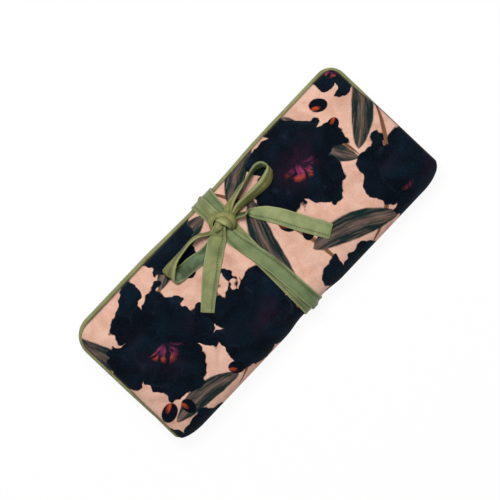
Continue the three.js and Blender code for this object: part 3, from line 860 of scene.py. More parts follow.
MOTIF_INPUTS = {"stem": blade, "leaf": blade, "blossom": head, "berry": head}
PRINT = {
    Side.FLAP: {
        "stem": ((-112, 56, -50, 94, 4.0, 10), (4, 118, 34, 10, 4.6, 9), (52, 4, 128, 76, 4.2, -12),
                 (-20, 60, -74, 6, 3.6, 8), (70, 118, 96, 56, 3.6, 6)),
        "leaf": ((28, 36, 86, 8, 20, 5), (24, 92, 4, 28, 17, -6), (94, 56, 78, 112, 17, 5),
                 (98, 60, 134, 96, 15, -3), (-64, 92, -6, 106, 16, 4), (-112, 66, -128, 112, 15, 3),
                 (-68, 14, -120, 22, 16, -4), (10, 98, 50, 114, 14, 3)),
        "blossom": ((-86, 66, 48, 0.4, 5), (-30, 32, 44, 1.3, 4), (-42, 112, 30, 2.2, 5),
                    (64, 84, 44, 0.1, 5), (112, 22, 43, 0.9, 4), (34, -6, 34, 2.9, 5),
                    (-122, -6, 36, 1.9, 5), (126, 112, 26, 0.6, 5)),
        "berry": ((-119, 30, 7.2, 0.4), (-107, 24, 6.0, 1.6), (28, 60, 6.8, 2.0), (34, 46, 5.8, 0.8),
                  (101, 100, 6.6, 2.6), (98, 84, 5.6, 0.2), (-6, 14, 6.0, 1.2), (-66, 18, 6.2, 2.2))},
    Side.BACK: {
        "stem": ((-120, -30, -30, -104, 4.2, 10), (20, -116, 90, -30, 4.2, -10), (-10, -4, 50, -60, 3.8, 8)),
        "leaf": ((-50, -88, -6, -64, 17, 4), (-96, -50, -126, -96, 17, -4), (50, -80, 10, -54, 16, 4),
                 (80, -42, 130, -30, 17, 4), (70, -62, 104, -104, 16, -4), (-30, -20, -70, -4, 14, 3)),
        "blossom": ((-66, -42, 46, 0.8, 6), (-86, -108, 38, 0.2, 5), (0, -94, 44, 1.1, 5),
                    (52, -36, 38, 2.0, 6), (112, -80, 44, 2.6, 5), (34, -6, 36, 2.9, 5),
                    (-122, -6, 36, 1.9, 5)),
        "berry": ((-20, -58, 6.8, 0.5), (-31, -48, 5.8, 1.5), (74, -104, 6.6, 2.4), (-118, -72, 6.4, 0.9),
                  (116, -22, 6.6, 1.9))}}


@dataclass(frozen=True)
class PrintedVelvet:
    """Blush velvet with a print of dark blossoms, leaves, stems and berries, painted specks of light and a
    painted shadow along its rim.
    """

    side: Side
    rim: Pair
    inks: PrintInks = PrintInks()
    # painted shadow along the seam: full up to the first distance from the rim, none past the second
    painted_seam_shadow_span: Pair = (0.5 * MM, 1.3 * MM)
    pile: float = 0.35 * MM
    mottle: float = 9 * MM
    hollow: float = 24 * MM
    speckles: float = 900.0
    ragged: float = 100.0

    def material(self, motifs: dict[str, Motif]) -> bpy.types.Material:
        """Builds the material, with the motifs from the lowest to the highest."""
        canvas = Surface(f"printed_velvet_{self.side.body}")
        u, v = canvas.cloth()
        at = canvas.vector(u, v)
        patches = canvas.noise(at, 1 / self.mottle, 3.0, 0.6)
        fine = canvas.noise(at, 1 / self.pile, 2.0)
        speckle = canvas.noise(at, self.speckles, 2.0)
        hollows = canvas.noise(at, 1 / self.hollow, 2.0, 1.0)
        ruffle = (canvas.noise(at, self.ragged, 2.4) - 0.5) * 0.75
        colour = canvas.mix(patches.step(0.36, 0.72) * 0.8, self.inks.blush, self.inks.rose)
        colour = canvas.mix(hollows.step(0.5, 0.72) * 0.42, colour, self.inks.shadow)
        for name, rows in PRINT[self.side].items():
            for row in rows:
                colour = motifs[name].stamp(canvas, colour, u, v, ruffle, **MOTIF_INPUTS[name](*row))
        # painted specks of light caught by the pile, mixed in by fine noise
        colour = canvas.mix(speckle.step(0.5, 0.75) * 0.11, colour, self.inks.painted_glint)
        # painted shadow: the last millimetre of velvet before the seam turns dark
        from_seam = canvas.math("MINIMUM", self.rim[0] - u.size(), self.rim[1] - v.size())
        colour = canvas.mix((1 - from_seam.step(*self.painted_seam_shadow_span)) * 0.72, colour, self.inks.seam)
        nap = (patches - 0.5) * 0.3 + (speckle - 0.5) * 0.6 + 1.0
        worn = canvas.node("HueSaturation", Value=nap, Color=colour)
        canvas.bump(fine * 0.6 + speckle * 0.4, self.pile, 0.35)
        return canvas.finish(Wire(canvas, worn.outputs[0]), 0.92, Specular_IOR_Level=0.1, Sheen_Weight=0.1,
                             Sheen_Roughness=0.45, Sheen_Tint=tone(150, 190, 215))


class Cast(Enum):
    """Painted light on the tie's sateen where a strap lies: its painted lit tone and its painted shaded tone.
    """

    PLAIN = (tone(157, 161, 105), tone(101, 113, 69))
    COOL = (tone(134, 147, 98), tone(90, 111, 71))
    WARM = (tone(152, 151, 87), tone(96, 100, 52))
    PALE = (tone(168, 174, 121), tone(114, 128, 80))


@dataclass(frozen=True)
class Sateen:
    """Cotton sateen of the tie and the piping: fine weave, soft gloss, painted highlights and painted shade.
    """

    name: str
    # painted light: the good face's painted lit tone and its painted shaded tone
    lit: Tone
    shaded: Tone
    reverse: Tone = tone(106, 130, 92)
    # the reverse face's own duller tone, darkened further as painted shade for the insides of the loops
    reverse_with_painted_shade: Tone = tone(56, 78, 50)
    # painted shade where other surfaces stand close
    painted_crevice_shade: Tone = tone(52, 58, 26)
    between_threads: Tone = tone(84, 100, 56)
    # painted highlight along the strap's edges
    painted_edge_highlight: Tone = tone(184, 192, 134)
    # stitch holes along the hem, and painted shade in the stitching groove
    stitch_holes_and_painted_shade: Tone = tone(66, 66, 32)
    # painted shade on the strap's very edge, where it turns away and meets other straps
    fold: Tone = tone(112, 108, 60)
    thread: float = 0.28 * MM
    slant: float = 0.0
    gloss: float = 0.48
    width: float = 10.5 * MM
    hem: float = 2.3 * MM
    stitch: float = 2.0 * MM

    def material(self) -> bpy.types.Material:
        """Builds the material. The reverse face has its second coordinate one metre on."""
        canvas = Surface(self.name)
        u, v = canvas.cloth()
        behind = v.step(0.4, 0.6)
        across = canvas.math("MODULO", v, 1.0)
        from_edge = canvas.math("MINIMUM", across, self.width - across)
        cosine, sine = math.cos(self.slant), math.sin(self.slant)
        warp, weft = u * cosine - v * sine, u * sine + v * cosine
        weave = canvas.wave(warp, self.thread * 1.6) * canvas.wave(weft, self.thread) * 0.5 + 0.5
        slub = canvas.noise(canvas.vector(warp * 60.0, weft * 700.0), 1.0, 2.0)
        # painted light and shade: cloud patches mix the painted lit and shaded tones, and the faces take more
        # of the painted shaded tone towards the strap's edges; the cloud also varies the roughness
        cloud = canvas.noise(canvas.vector(u, v), 75.0, 3.0, 0.6)
        crease = canvas.noise(canvas.vector(u * 240.0, v * 80.0), 1.0, 3.0, 1.2)
        painted_shade_towards_edges = (across / self.width - 0.5).size().step(0.2, 0.5) * 0.25
        good = canvas.mix((cloud.step(0.34, 0.66) * 0.85 + painted_shade_towards_edges).clamped(), self.lit, self.shaded)
        # the reverse face, mixed in patches with its painted shade
        back = canvas.mix(cloud.step(0.4, 0.6), self.reverse, self.reverse_with_painted_shade)
        # a band along the hem's stitching: stitch holes at each stitch over a painted shade all along the
        # groove
        seam = 1 - (across - self.hem).size().step(0.15 * MM, 0.65 * MM)
        pricks = canvas.wave(u, self.stitch).step(0.1, 0.9)
        colour = canvas.mix(behind, good, back)
        for share, over in ((slub.step(0.45, 0.8) * 0.35, self.shaded), (weave * 0.12, self.between_threads),
                            # painted highlight along the edges
                            ((1 - from_edge.step(0.3 * MM, 1.1 * MM)) * 0.5, self.painted_edge_highlight),
                            (seam * (pricks * 0.6 + 0.3), self.stitch_holes_and_painted_shade),
                            # painted shade on the very edge
                            ((1 - from_edge.step(0.05 * MM, 0.3 * MM)) * 0.6, self.fold),
                            # painted shade where other surfaces stand close
                            (canvas.occlusion_for_painted_shade(3.6 * MM).step(0.2, 0.82) * 0.86, self.painted_crevice_shade)):
            colour = canvas.mix(share, colour, over)
        canvas.bump(weave * 0.3 + slub * 0.3 + crease * 1.8, 0.3 * MM, 0.7)
        return canvas.finish(colour, cloud * 0.14 + (self.gloss - 0.07), Specular_IOR_Level=0.32,
                             Sheen_Weight=0.03, Sheen_Roughness=0.5)


@dataclass(frozen=True)
class PlainCloth:
    """Woven cotton for the lining, the pockets and the zip tapes."""

    name: str
    colour: Tone
    dark: Tone
    thread: float = 0.4 * MM
    crumple: float = 14 * MM

    def material(self) -> bpy.types.Material:
        """Builds the material."""
        canvas = Surface(self.name)
        u, v = canvas.cloth()
        at = canvas.vector(u, v)
        weave = canvas.wave(u, self.thread) * canvas.wave(v, self.thread) * 0.5 + 0.5
        slub = canvas.noise(canvas.vector(u * 900.0, v * 90.0), 1.0, 2.0)
        crumple = canvas.noise(at, 1 / self.crumple, 4.0, 0.8)
        colour = canvas.mix(crumple.step(0.35, 0.7) * 0.6, self.colour, self.dark)
        colour = canvas.mix((weave * 0.2 + slub.step(0.45, 0.75) * 0.3).clamped(), colour, self.dark)
        canvas.bump(weave * 0.2 + slub * 0.2 + crumple * 1.6, 0.5 * MM, 0.55)
        return canvas.finish(colour, crumple * 0.1 + 0.72, Specular_IOR_Level=0.25, Sheen_Weight=0.15,
                             Sheen_Roughness=0.5)


@dataclass(frozen=True)
class Fleece:
    """Loose white wadding of the padding."""

    name: str = "wadding"

    def material(self) -> bpy.types.Material:
        """Builds the material."""
        canvas = Surface(self.name)
        at = canvas.place()
        tufts = canvas.noise(at, 220.0, 4.0, 1.0)
        fibres = canvas.noise(at, 1500.0, 2.0, 2.0)
        colour = canvas.mix(tufts.step(0.3, 0.7), tone(236, 231, 219), tone(206, 198, 182))
        canvas.bump(tufts * 0.7 + fibres * 0.3, 0.6 * MM, 0.6)
        return canvas.finish(colour, 0.95, Sheen_Weight=0.3)


@dataclass(frozen=True)
class Nylon:
    """Moulded nylon of the zip's teeth, faintly mottled and rubbed shiny."""

    name: str = "zip_nylon"
    colour: Tone = tone(118, 132, 86)

    def material(self) -> bpy.types.Material:
        """Builds the material."""
        canvas = Surface(self.name)
        at = canvas.place()
        rubbed = canvas.noise(at, 160.0, 3.0)
        grain = canvas.noise(at, 2600.0, 2.0)
        colour = canvas.mix(rubbed.step(0.35, 0.7), self.colour, tone(96, 110, 70))
        canvas.bump(grain, 0.05 * MM, 0.4)
        return canvas.finish(colour, rubbed * 0.2 + 0.28, Specular_IOR_Level=0.5)


@dataclass(frozen=True)
class Gilt:
    """Brushed gilt metal with patches of tarnish and fine scratches."""

    name: str = "gilt"

    def material(self) -> bpy.types.Material:
        """Builds the material."""
        canvas = Surface(self.name)
        at = canvas.place()
        tarnish = canvas.noise(at, 240.0, 4.0, 0.5)
        x, y, z = canvas.split(at)
        brushed = canvas.noise(canvas.vector(x * 300.0, y * 9000.0, z * 9000.0), 1.0, 2.0)
        colour = canvas.mix(tarnish.step(0.4, 0.75) * 0.6, tone(222, 184, 118), tone(168, 126, 70))
        canvas.bump(brushed, 0.02 * MM, 0.35)
        return canvas.finish(colour, brushed * 0.18 + tarnish * 0.12 + 0.16, Metallic=1.0)


@dataclass(frozen=True)
class Thread:
    """Twisted sewing thread."""

    name: str = "thread"
    colour: Tone = tone(104, 106, 62)

    def material(self) -> bpy.types.Material:
        """Builds the material."""
        canvas = Surface(self.name)
        at = canvas.place()
        twist = canvas.noise(at, 3800.0, 2.0, 1.5)
        shade = canvas.noise(at, 300.0, 2.0)
        colour = canvas.mix(twist.step(0.35, 0.65) * 0.6 + shade * 0.3, self.colour, tone(62, 66, 34))
        canvas.bump(twist, 0.05 * MM, 0.6)
        return canvas.finish(colour, 0.6, Specular_IOR_Level=0.3)


class Finishes:
    """All the materials, each made once."""

    def __init__(self, rim: Pair) -> None:
        """Builds the materials.

        Args:
            rim: how far the cover reaches from the middle of the spine, along and across the cloth.
        """
        ink = PrintInks()
        motifs = {"stem": leaf_motif("stem", ink.stem, ink.bark),
                  "leaf": leaf_motif("leaf", ink.leaf, ink.rib),
                  "blossom": blossom_motif(ink), "berry": berry_motif(ink)}
        self.velvet = {side: PrintedVelvet(side, rim).material(motifs) for side in Side}
        # one copy of the sateen for each painted light, all the same cloth
        self.sateen = {cast: Sateen(f"tie_sateen_{cast.name.lower()}", *cast.value).material()
                       for cast in Cast}
        # the same bias cloth on both strands, each with its own painted lit and shaded tones; the back's
        # strand is painted a little lighter
        bias = {Side.BACK: Sateen("piping_bias_under_painted_lighter", tone(168, 167, 115), tone(128, 129, 80)),
                Side.FLAP: Sateen("piping_bias", tone(163, 165, 107), tone(122, 126, 74))}
        self.piping = {side: replace(cloth, slant=0.8, hem=-1.0, width=2.0).material()
                       for side, cloth in bias.items()}
        self.lining = PlainCloth("lining_cotton", tone(166, 178, 134), tone(136, 149, 104)).material()
        self.pocket = PlainCloth("pocket_cotton", tone(170, 182, 138), tone(140, 153, 108),
                                 crumple=9 * MM).material()
        self.tape = PlainCloth("zip_tape_weave", tone(134, 148, 98), tone(108, 122, 76), 0.6 * MM).material()
        self.wadding = Fleece().material()
        self.nylon = Nylon().material()
        self.gilt = Gilt().material()
        self.thread = Thread().material()


def by_end(x: Array, left: Array, right: Array) -> Array:
    """One value on the left half of the roll and another on the right."""
    return np.where(x > 0, right, left)


@dataclass(frozen=True)
class RollForm:
    """The padded roll's form: where its outer and inner faces lie."""

    half_length: float
    half_width: float
    thickness: float
    rim_x: float
    rim_y: float
    pillow: float = 17 * MM
    cover_drop: float = 9.2 * MM
    lining_depth: float = 4.2 * MM
    lining_drop: float = 6.4 * MM
    fullness: float = 0.6
    spine_ease: float = 0.55
    waist_depth: float = 1.6 * MM
    waist_flat: float = 11 * MM
    waist_fade: float = 17 * MM
    fold_slack: float = 0.5
    edge_fade: float = 48 * MM
    corners: Pair = (11.5 * MM, 7.8 * MM)
    fold_corners: Pair = (1.8 * MM, 5.0 * MM)
    lap: Pair = (0.95 * MM, 0.8 * MM)
    covered: Pair = (0.5 * MM, 2.0 * MM)
    covered_from: Pair = (40 * MM, 71 * MM)
    covered_fade: Pair = (18 * MM, 32 * MM)
    open_lap: Pair = (0.35 * MM, 1.15 * MM)
    open_lap_from: float = -50 * MM
    open_lap_fade: float = 25 * MM
    shared: float = 0.3

    @classmethod
    def from_frame(cls) -> "RollForm":
        """Reads the roll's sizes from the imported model."""
        piping_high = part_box("flap_piping")[1]
        cover_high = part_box("flap_cover")[1]
        return cls(piping_high.x, piping_high.y, cover_high.z, cover_high.x, cover_high.y)

    @property
    def radius(self) -> float:
        """Radius of the spine's outside."""
        return self.thickness / 2

    @property
    def fold_y(self) -> float:
        """Where the spine's half circle meets the panels."""
        return self.radius - self.half_width

    @property
    def arc(self) -> float:
        """Length of cloth from the spine's middle to the panel."""
        return self.radius * math.pi / 2

    @property
    def reach(self) -> float:
        """Length of cloth from the spine's middle to the open edge."""
        return self.arc + self.rim_y - self.fold_y

    def waist(self, x: Array) -> Array:
        """How strongly the tie draws the roll in, from 0 to 1."""
        return 1 - smooth((np.abs(x) - self.waist_flat) / self.waist_fade)

    def ease(self, v: Array) -> Array:
        """Less drop at the ends of the spine than along a panel's edges."""
        return 1 - self.spine_ease * smooth(1 - v / self.arc)

    def edge(self, x: Array, v: Array, fullness: float) -> Array:
        """How near a place is to the sewn edges.

        Args:
            x: place along the roll.
            v: length of cloth from the spine's middle.
            fullness: 0 for a slack curve, 1 for a full round one.

        Returns:
            1 at the edges, falling to 0 one pillow width inside them.
        """
        curves = []
        for distance in (self.rim_x - np.abs(x), self.reach - v):
            t = np.clip(1 - distance / self.pillow, 0, 1)
            full = 1 - np.sqrt(1 - np.minimum(t, 0.9995) ** 2)
            curves.append((1 - fullness) * t**2 + fullness * full)
        return 1 - (1 - curves[0] * self.ease(v)) * (1 - curves[1])

    def cover_depth(self, x: Array, v: Array) -> Array:
        """Depth of the cover's outer face below the panel's outermost plane."""
        edge = self.edge(x, v, self.fullness)
        drawn = self.waist_depth * self.waist(x) * (1 - self.fold_slack * smooth(1 - v / self.arc))
        return self.cover_drop * edge + drawn * (1 - edge)

    def tucked(self, x: Array, v: Array) -> Array:
        """How far the piping is out of sight at the left and right ends, towards the fold, from 0 to 1."""
        spans = zip(self.covered_from, self.covered_fade)
        return by_end(x, *(smooth((self.arc + start - v) / fade) for start, fade in spans))

    def covering(self, x: Array, v: Array) -> Array:
        """How far the left and right ends reach out over the piping."""
        return by_end(x, *self.lap) + by_end(x, *self.covered) * self.tucked(x, v)

    def open_covering(self, x: Array) -> Array:
        """How far the open edge reaches out over the piping."""
        low, high = self.open_lap
        return low + (high - low) * smooth((x - self.open_lap_from) / self.open_lap_fade)

    def drawn_back(self, x: Array, v: Array) -> Array:
        """How far the ends draw back where the fold's corners are round.

        Args:
            x: place along the roll.
            v: length of cloth from the spine's middle.

        Returns:
            The distance from the end of the roll.
        """
        corner = by_end(x, *self.fold_corners)
        rise = self.radius * (1 - np.cos(np.minimum(np.abs(v), self.arc) / self.radius))
        short = np.clip(corner - rise, 0, 0.999 * corner)
        return corner - np.sqrt(corner**2 - short**2)

    def lining_face(self, x: Array, v: Array) -> Array:
        """Depth of the lining's hidden face."""
        return self.lining_depth + self.lining_drop * self.edge(x, v, 0.0)

    def round_corner(self, x: Array, y: Array) -> tuple[Array, Array]:
        """Rounds the two corners at the open edge.

        Args:
            x: places along the roll.
            y: places across the closed roll.

        Returns:
            The same places, drawn in at the corners.
        """
        corner = by_end(x, *self.corners)
        corner_x, corner_y = self.rim_x - corner, self.rim_y - corner
        a = np.clip((np.abs(x) - corner_x) / corner, 0, 1)
        b = np.clip((y - corner_y) / corner, 0, 1)
        inside = (a > 0) & (b > 0)
        round_x = np.sign(x) * (corner_x + corner * a * np.sqrt(1 - b * b / 2))
        round_y = corner_y + corner * b * np.sqrt(1 - a * a / 2)
        return np.where(inside, round_x, x), np.where(inside, round_y, y)

    def drawn_in(self, x: Array, y: Array) -> Array:
        """The open edge where the tie draws it in."""
        drawn = 1 - smooth((np.abs(x) - self.waist_flat) / self.edge_fade)
        return y - self.waist_depth * drawn * smooth(y / self.half_width)

    def points(self, x: Array, v: Array, depth: Array, side: Side) -> Array:
        """Points at a depth below the outside of the cloth.

        Args:
            x: place along the roll.
            v: length of cloth from the spine's middle.
            depth: how deep the points lie.
            side: the panel.

        Returns:
            The points in the frame, for the closed roll.
        """
        x, v, depth = np.broadcast_arrays(x, v, depth)
        near_end = smooth((np.abs(x) - self.rim_x + self.pillow) / self.pillow)
        near_edge = smooth((v - self.reach + self.pillow) / self.pillow)
        outwards = (self.covering(x, v) - self.drawn_back(x, v)) * near_end * (1 - self.shared * near_edge)
        angle = np.clip(math.pi / 2 + v / self.radius, None, math.pi)
        spine_y = self.fold_y - (self.radius - depth) * np.sin(angle)
        spine_z = self.radius - (self.radius - depth) * np.cos(angle)
        round_x, round_y = self.round_corner(x, self.fold_y + v - self.arc)
        round_y = round_y + self.open_covering(x) * near_edge * (1 - self.shared * near_end)
        on_spine = v < self.arc
        y = np.where(on_spine, spine_y, self.drawn_in(round_x, round_y))
        z = np.where(on_spine, spine_z, self.thickness - depth)
        z = z if side is Side.FLAP else self.thickness - z
        return net_of(np.where(on_spine, x, round_x) + np.sign(x) * outwards, y, z)


@dataclass
class Panel:
    """One padded panel with its half of the spine: cover, padding, lining and piping."""

    form: RollForm
    side: Side
    finishes: Finishes
    step: float = 1.7 * MM
    cloth_step: float = 2.6 * MM
    rim_steps: tuple[float, ...] = (2.4 * MM, 1.3 * MM, 0.6 * MM, 0.2 * MM, 0.0)
    rim_width: float = 3.4 * MM
    cover_thickness: float = 1.0 * MM
    lining_thickness: float = 0.8 * MM
    padding_inset: float = 9 * MM
    clearance: float = 0.3 * MM
    lap: float = 0.6 * MM
    lap_depth: float = 0.04 * MM
    piping_radius: float = 1.5 * MM
    piping_tuck: float = 0.25 * MM
    piping_sink: Pair = (0.35 * MM, 0.4 * MM)
    piping_offset: float = 0.5 * MM
    flange: float = 3.2 * MM
    flange_drop: float = 0.35 * MM
    flange_half: float = 0.15 * MM
    swell_cap: float = 1.6 * MM
    fold_swell: float = 0.9 * MM
    cover_waves: float = 0.18 * MM
    lining_waves: float = 0.14 * MM
    piping_waves: float = 0.16 * MM
    swell: Optional[Array] = None

    def named(self, part: str) -> str:
        """Name of one of the panel's own pieces or solids."""
        return f"{self.side.body}_{part}"

    def stations(self, step: float) -> tuple[Array, Array]:
        """Places for a net of cloth, closer together at the sewn rim.

        Args:
            step: distance between the others.

        Returns:
            The places along the roll and those from the middle of the spine to the open edge.
        """
        form, rim = self.form, np.array(self.rim_steps)
        inner = form.rim_x - self.rim_width
        half = np.concatenate([np.linspace(0, inner, int(inner / step))[1:], form.rim_x - rim])
        across = np.linspace(0, form.reach - self.rim_width, int(form.reach / step))
        return np.concatenate([-half[::-1], [0.0], half]), np.concatenate([across, form.reach - rim])

    def settle(self) -> None:
        """Lets the cover swell over its padding as cloth, held by its seams and by the tie."""
        x, v = np.meshgrid(*self.stations(self.cloth_step), indexing="ij")
        rest = self.form.points(x, v, self.form.cover_depth(x, v), self.side)
        held = smooth((self.form.waist(x) - 0.55) / 0.4)
        held = np.maximum(held, self.form.edge(x, v, 0.0) ** 1.5)
        held = np.maximum(held, 1 - smooth(v / self.form.arc))
        self.swell = np.zeros(rest.shape)
        shift = simulate_cloth(self.named("cloth"), rest, np.clip(held, 0, 1)) - rest
        size = np.linalg.norm(shift, axis=-1, keepdims=True)
        self.swell = shift * np.minimum(1, self.swell_cap / np.maximum(size, 1e-9))
        log.info("%s cover swells by up to %.2f mm", self.side.body, float(size.max()) / MM)

    def swelling(self, x: Array, v: Array) -> Array:
        """The settled cloth's shift at any place of the cover."""
        places = zip((x, v), self.stations(self.cloth_step))
        return between(self.swell, *(np.interp(at, known, np.arange(len(known))) for at, known in places))

    def outer_face(self, x: Array, v: Array) -> Array:
        """Points of the cover's outer face.

        Args:
            x: place along the roll.
            v: length of cloth from the spine's middle.

        Returns:
            The points in the frame.
        """
        form = self.form
        off_spine, slack = smooth(np.abs(v) / form.arc), 1 - form.waist(x)
        waves = self.cover_waves * ripples(x, v, 26 * MM, 5 + self.side.value) * slack
        depth = form.cover_depth(x, np.abs(v)) + waves * off_spine
        depth = depth - self.fold_swell * (1 - off_spine) * slack
        depth = np.where(v < 0, depth + self.lap_depth, depth)
        return form.points(x, v, depth, self.side) + self.swelling(x, np.maximum(v, 0))

    def lay_out(self, inset: float) -> tuple[Array, Array]:
        """Net of places from a little past the spine's middle to an inset from the rim."""
        x, v = self.stations(self.step)
        v = np.concatenate([[-self.lap], v[v <= self.form.reach - inset]])
        return np.meshgrid(x[np.abs(x) <= self.form.rim_x - inset], v, indexing="ij")

    def build(self) -> None:
        """Builds the four layers of the panel."""
        self.settle()
        self.build_cover()
        self.build_padding()
        self.build_lining()
        self.build_piping()

    def hang(self, piece: bpy.types.Object, *nodes: str) -> None:
        """Hides the solids that a piece stands for and bakes the piece's transform into its points."""
        form = self.form
        z = form.thickness if self.side is Side.FLAP else 0.0
        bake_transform(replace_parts(piece, *nodes), self.side.body, "spine", start=(0, form.fold_y, z),
                 end=(0, -form.half_width, form.radius))

    def sheet(self, part: str, outer: Array, inner: Array, x: Array, v: Array) -> bpy.types.Object:
        """A layer of the panel, with the print's way running on round the spine.

        Args:
            part: its name on this panel.
            outer: points of one face.
            inner: points of the other face.
            x: places along the roll.
            v: lengths of cloth from the spine's middle.

        Returns:
            The new object.
        """
        return shell(self.named(part), outer, inner, net_of(x, v * self.side.value))

    def stretch(self) -> None:
        """Does nothing; it only reads the roll's reach."""
        self.form.reach

    def build_cover(self) -> None:
        """The printed velvet over the panel and its half of the spine."""
        x, v = self.lay_out(0.0)
        outer = self.outer_face(x, v)
        rim = np.minimum(self.form.rim_x - np.abs(x), self.form.reach - v)
        thickness = self.cover_thickness * (0.3 + 0.7 * smooth(rim / (2 * MM)))
        inner = outer - net_normals(outer) * self.side.value * thickness[..., None]
        piece = self.sheet("cover_velvet", outer, inner, x, v)
        dress(piece, self.finishes.velvet[self.side])
        self.stretch()
        self.hang(piece, self.named("cover"), "spine_cover")

    def build_padding(self) -> None:
        """The wadding between cover and lining."""
        x, v = self.lay_out(self.padding_inset)
        outer = self.outer_face(x, v)
        outer = outer - net_normals(outer) * self.side.value * (self.cover_thickness + self.clearance)
        depth = self.form.lining_face(x, np.abs(v)) - self.clearance
        inner = self.form.points(x, v, depth, self.side)
        piece = dress(self.sheet("wadding", outer, inner, x, v), self.finishes.wadding)
        self.hang(piece, self.named("padding"), "spine_padding")

    def build_lining(self) -> None:
        """The cotton lining, gathered a little where it turns into the spine."""
        x, v = self.lay_out(0.0)
        crumple = self.lining_waves * ripples(x, v, 9 * MM, 31 + self.side.value)
        depth = self.form.lining_face(x, np.abs(v)) + crumple * smooth(np.abs(v) / self.form.arc)
        depth = np.where(v < 0, depth - self.lap_depth, depth)
        faces = (self.form.points(x, v, depth + deeper, self.side) for deeper in (0.0, self.lining_thickness))
        piece = dress(self.sheet("lining_cotton", *faces, x, v), self.finishes.lining)
        self.stretch()
        self.hang(piece, self.named("lining"), "spine_lining")

    def half_plan(self, corner: float) -> Array:
        """The piping's way in plan on the right half of the roll.

        Args:
            corner: radius of the cover's corner at the open edge.

        Returns:
            Flat points, from the spine to the middle of the open edge.
        """
        form, r = self.form, self.piping_radius
        end_x, open_y = form.half_length - r, form.half_width - r
        bend = corner + r + 1.8 * MM
        angles = np.linspace(0, math.pi / 2, 16)[1:]
        return np.vstack([net_of(end_x, form.fold_y - form.arc + np.linspace(0, form.arc, 14)[:-1]),
                          net_of(end_x, np.linspace(form.fold_y, open_y - bend, 40)),
                          net_of(end_x - bend * (1 - np.cos(angles)), open_y - bend * (1 - np.sin(angles))),
                          net_of(np.linspace(end_x - bend, 0, 90)[1:], open_y)])

    def piping_path(self) -> Array:
        """Middle of the piping, from the spine round the panel and back to the spine."""
        form, sign = self.form, self.side.value
        left, right = (self.half_plan(corner) for corner in form.corners)
        x, y = np.vstack([right, (left * (-1, 1))[::-1][1:]]).T
        v = y - form.fold_y + form.arc
        path = form.points(x * 0, v, form.cover_drop * form.ease(v) + self.piping_radius, self.side)
        tuck = form.tucked(x, v)
        beside = self.piping_offset * sign * smooth((v - form.arc) / (20 * MM))
        inwards = tuck * self.piping_tuck + form.drawn_back(x, v) + beside
        path[:, 0] = x - np.sign(x) * np.minimum(inwards, np.abs(x))
        near_edge = smooth((y - form.rim_y + 20 * MM) / (16 * MM))
        path[:, 1] = np.where(v >= form.arc, form.drawn_in(x, y) - beside * near_edge, path[:, 1])
        sink = self.piping_sink[0] + self.piping_sink[1] * tuck
        path[:, 2] += self.piping_waves * ripples(x, y, 17 * MM, 11 + sign) - sign * sink
        return path

    def build_flange(self, path: Array) -> bpy.types.Object:
        """The strip of the piping's cloth that is caught in the seam.

        Args:
            path: middle of the piping.

        Returns:
            The new object.
        """
        inward = unit(np.cross(unit(np.gradient(path, axis=0)), (0.0, 0.0, 1.0)))
        centre = path.mean(axis=0) * (1, 1, 0)
        turn = np.sign(((centre - path) * inward).sum(axis=1, keepdims=True))
        shares = np.linspace(0.15, 1, 4)
        net = path[:, None, :] + (inward * turn)[:, None, :] * self.flange * shares[None, :, None]
        net[..., 2] -= self.side.value * self.flange_drop
        half = np.array((0, 0, self.flange_half))
        uv = grid(run_along(path), shares * self.flange)
        return shell(self.named("flange"), net + half, net - half, uv)

    def build_piping(self) -> None:
        """The covered cord sewn into the seam."""
        path = self.piping_path()
        run = run_along(path)
        radii = self.piping_radius * (0.97 + 0.03 * ripples(run, run * 0, 12 * MM, 3))
        cord = swept(self.named("piping_cord"), path, radii, 14)
        piece = joined(self.named("piping_cord"), [cord, self.build_flange(path)])
        self.hang(dress(piece, self.finishes.piping[self.side]), self.named("piping"),
                  "spine_piping_left", "spine_piping_right")


def simulate_cloth(name: str, rest: Array, held: Array) -> Array:
    """Blows a net of cloth up gently and lets it settle.

    Args:
        name: name of the passing object.
        rest: points of the net.
        held: how firmly each point is held, from 0 to 1.

    Returns:
        The settled points.
    """
    points = rest.reshape(-1, 3)
    mesh = bpy.data.meshes.new(name)
    mesh.from_pydata(points.tolist(), [], quads(np.arange(len(points)).reshape(rest.shape[:2])).tolist())
    cloth_object = linked(name, mesh)
    group = cloth_object.vertex_groups.new(name="held")
    for number, weight in enumerate(held.ravel()):
        if weight > 0.02:
            group.add([number], float(weight), "REPLACE")
    cloth = cloth_object.modifiers.new("cloth", "CLOTH")
    for setting, value in CLOTH_SETTINGS.items():
        setattr(cloth.settings, setting, value)
    cloth.settings.effector_weights.gravity = 0.0
    cloth.point_cache.frame_start, cloth.point_cache.frame_end = 1, CLOTH_FRAMES
    for number in range(1, CLOTH_FRAMES + 1):
        bpy.context.scene.frame_set(number)
    evaluated = cloth_object.evaluated_get(bpy.context.evaluated_depsgraph_get())
    moved = np.zeros(len(points) * 3)
    evaluated.data.vertices.foreach_get("co", moved)
    bpy.context.scene.frame_set(1)
    bpy.data.objects.remove(cloth_object)
    return moved.reshape(rest.shape)


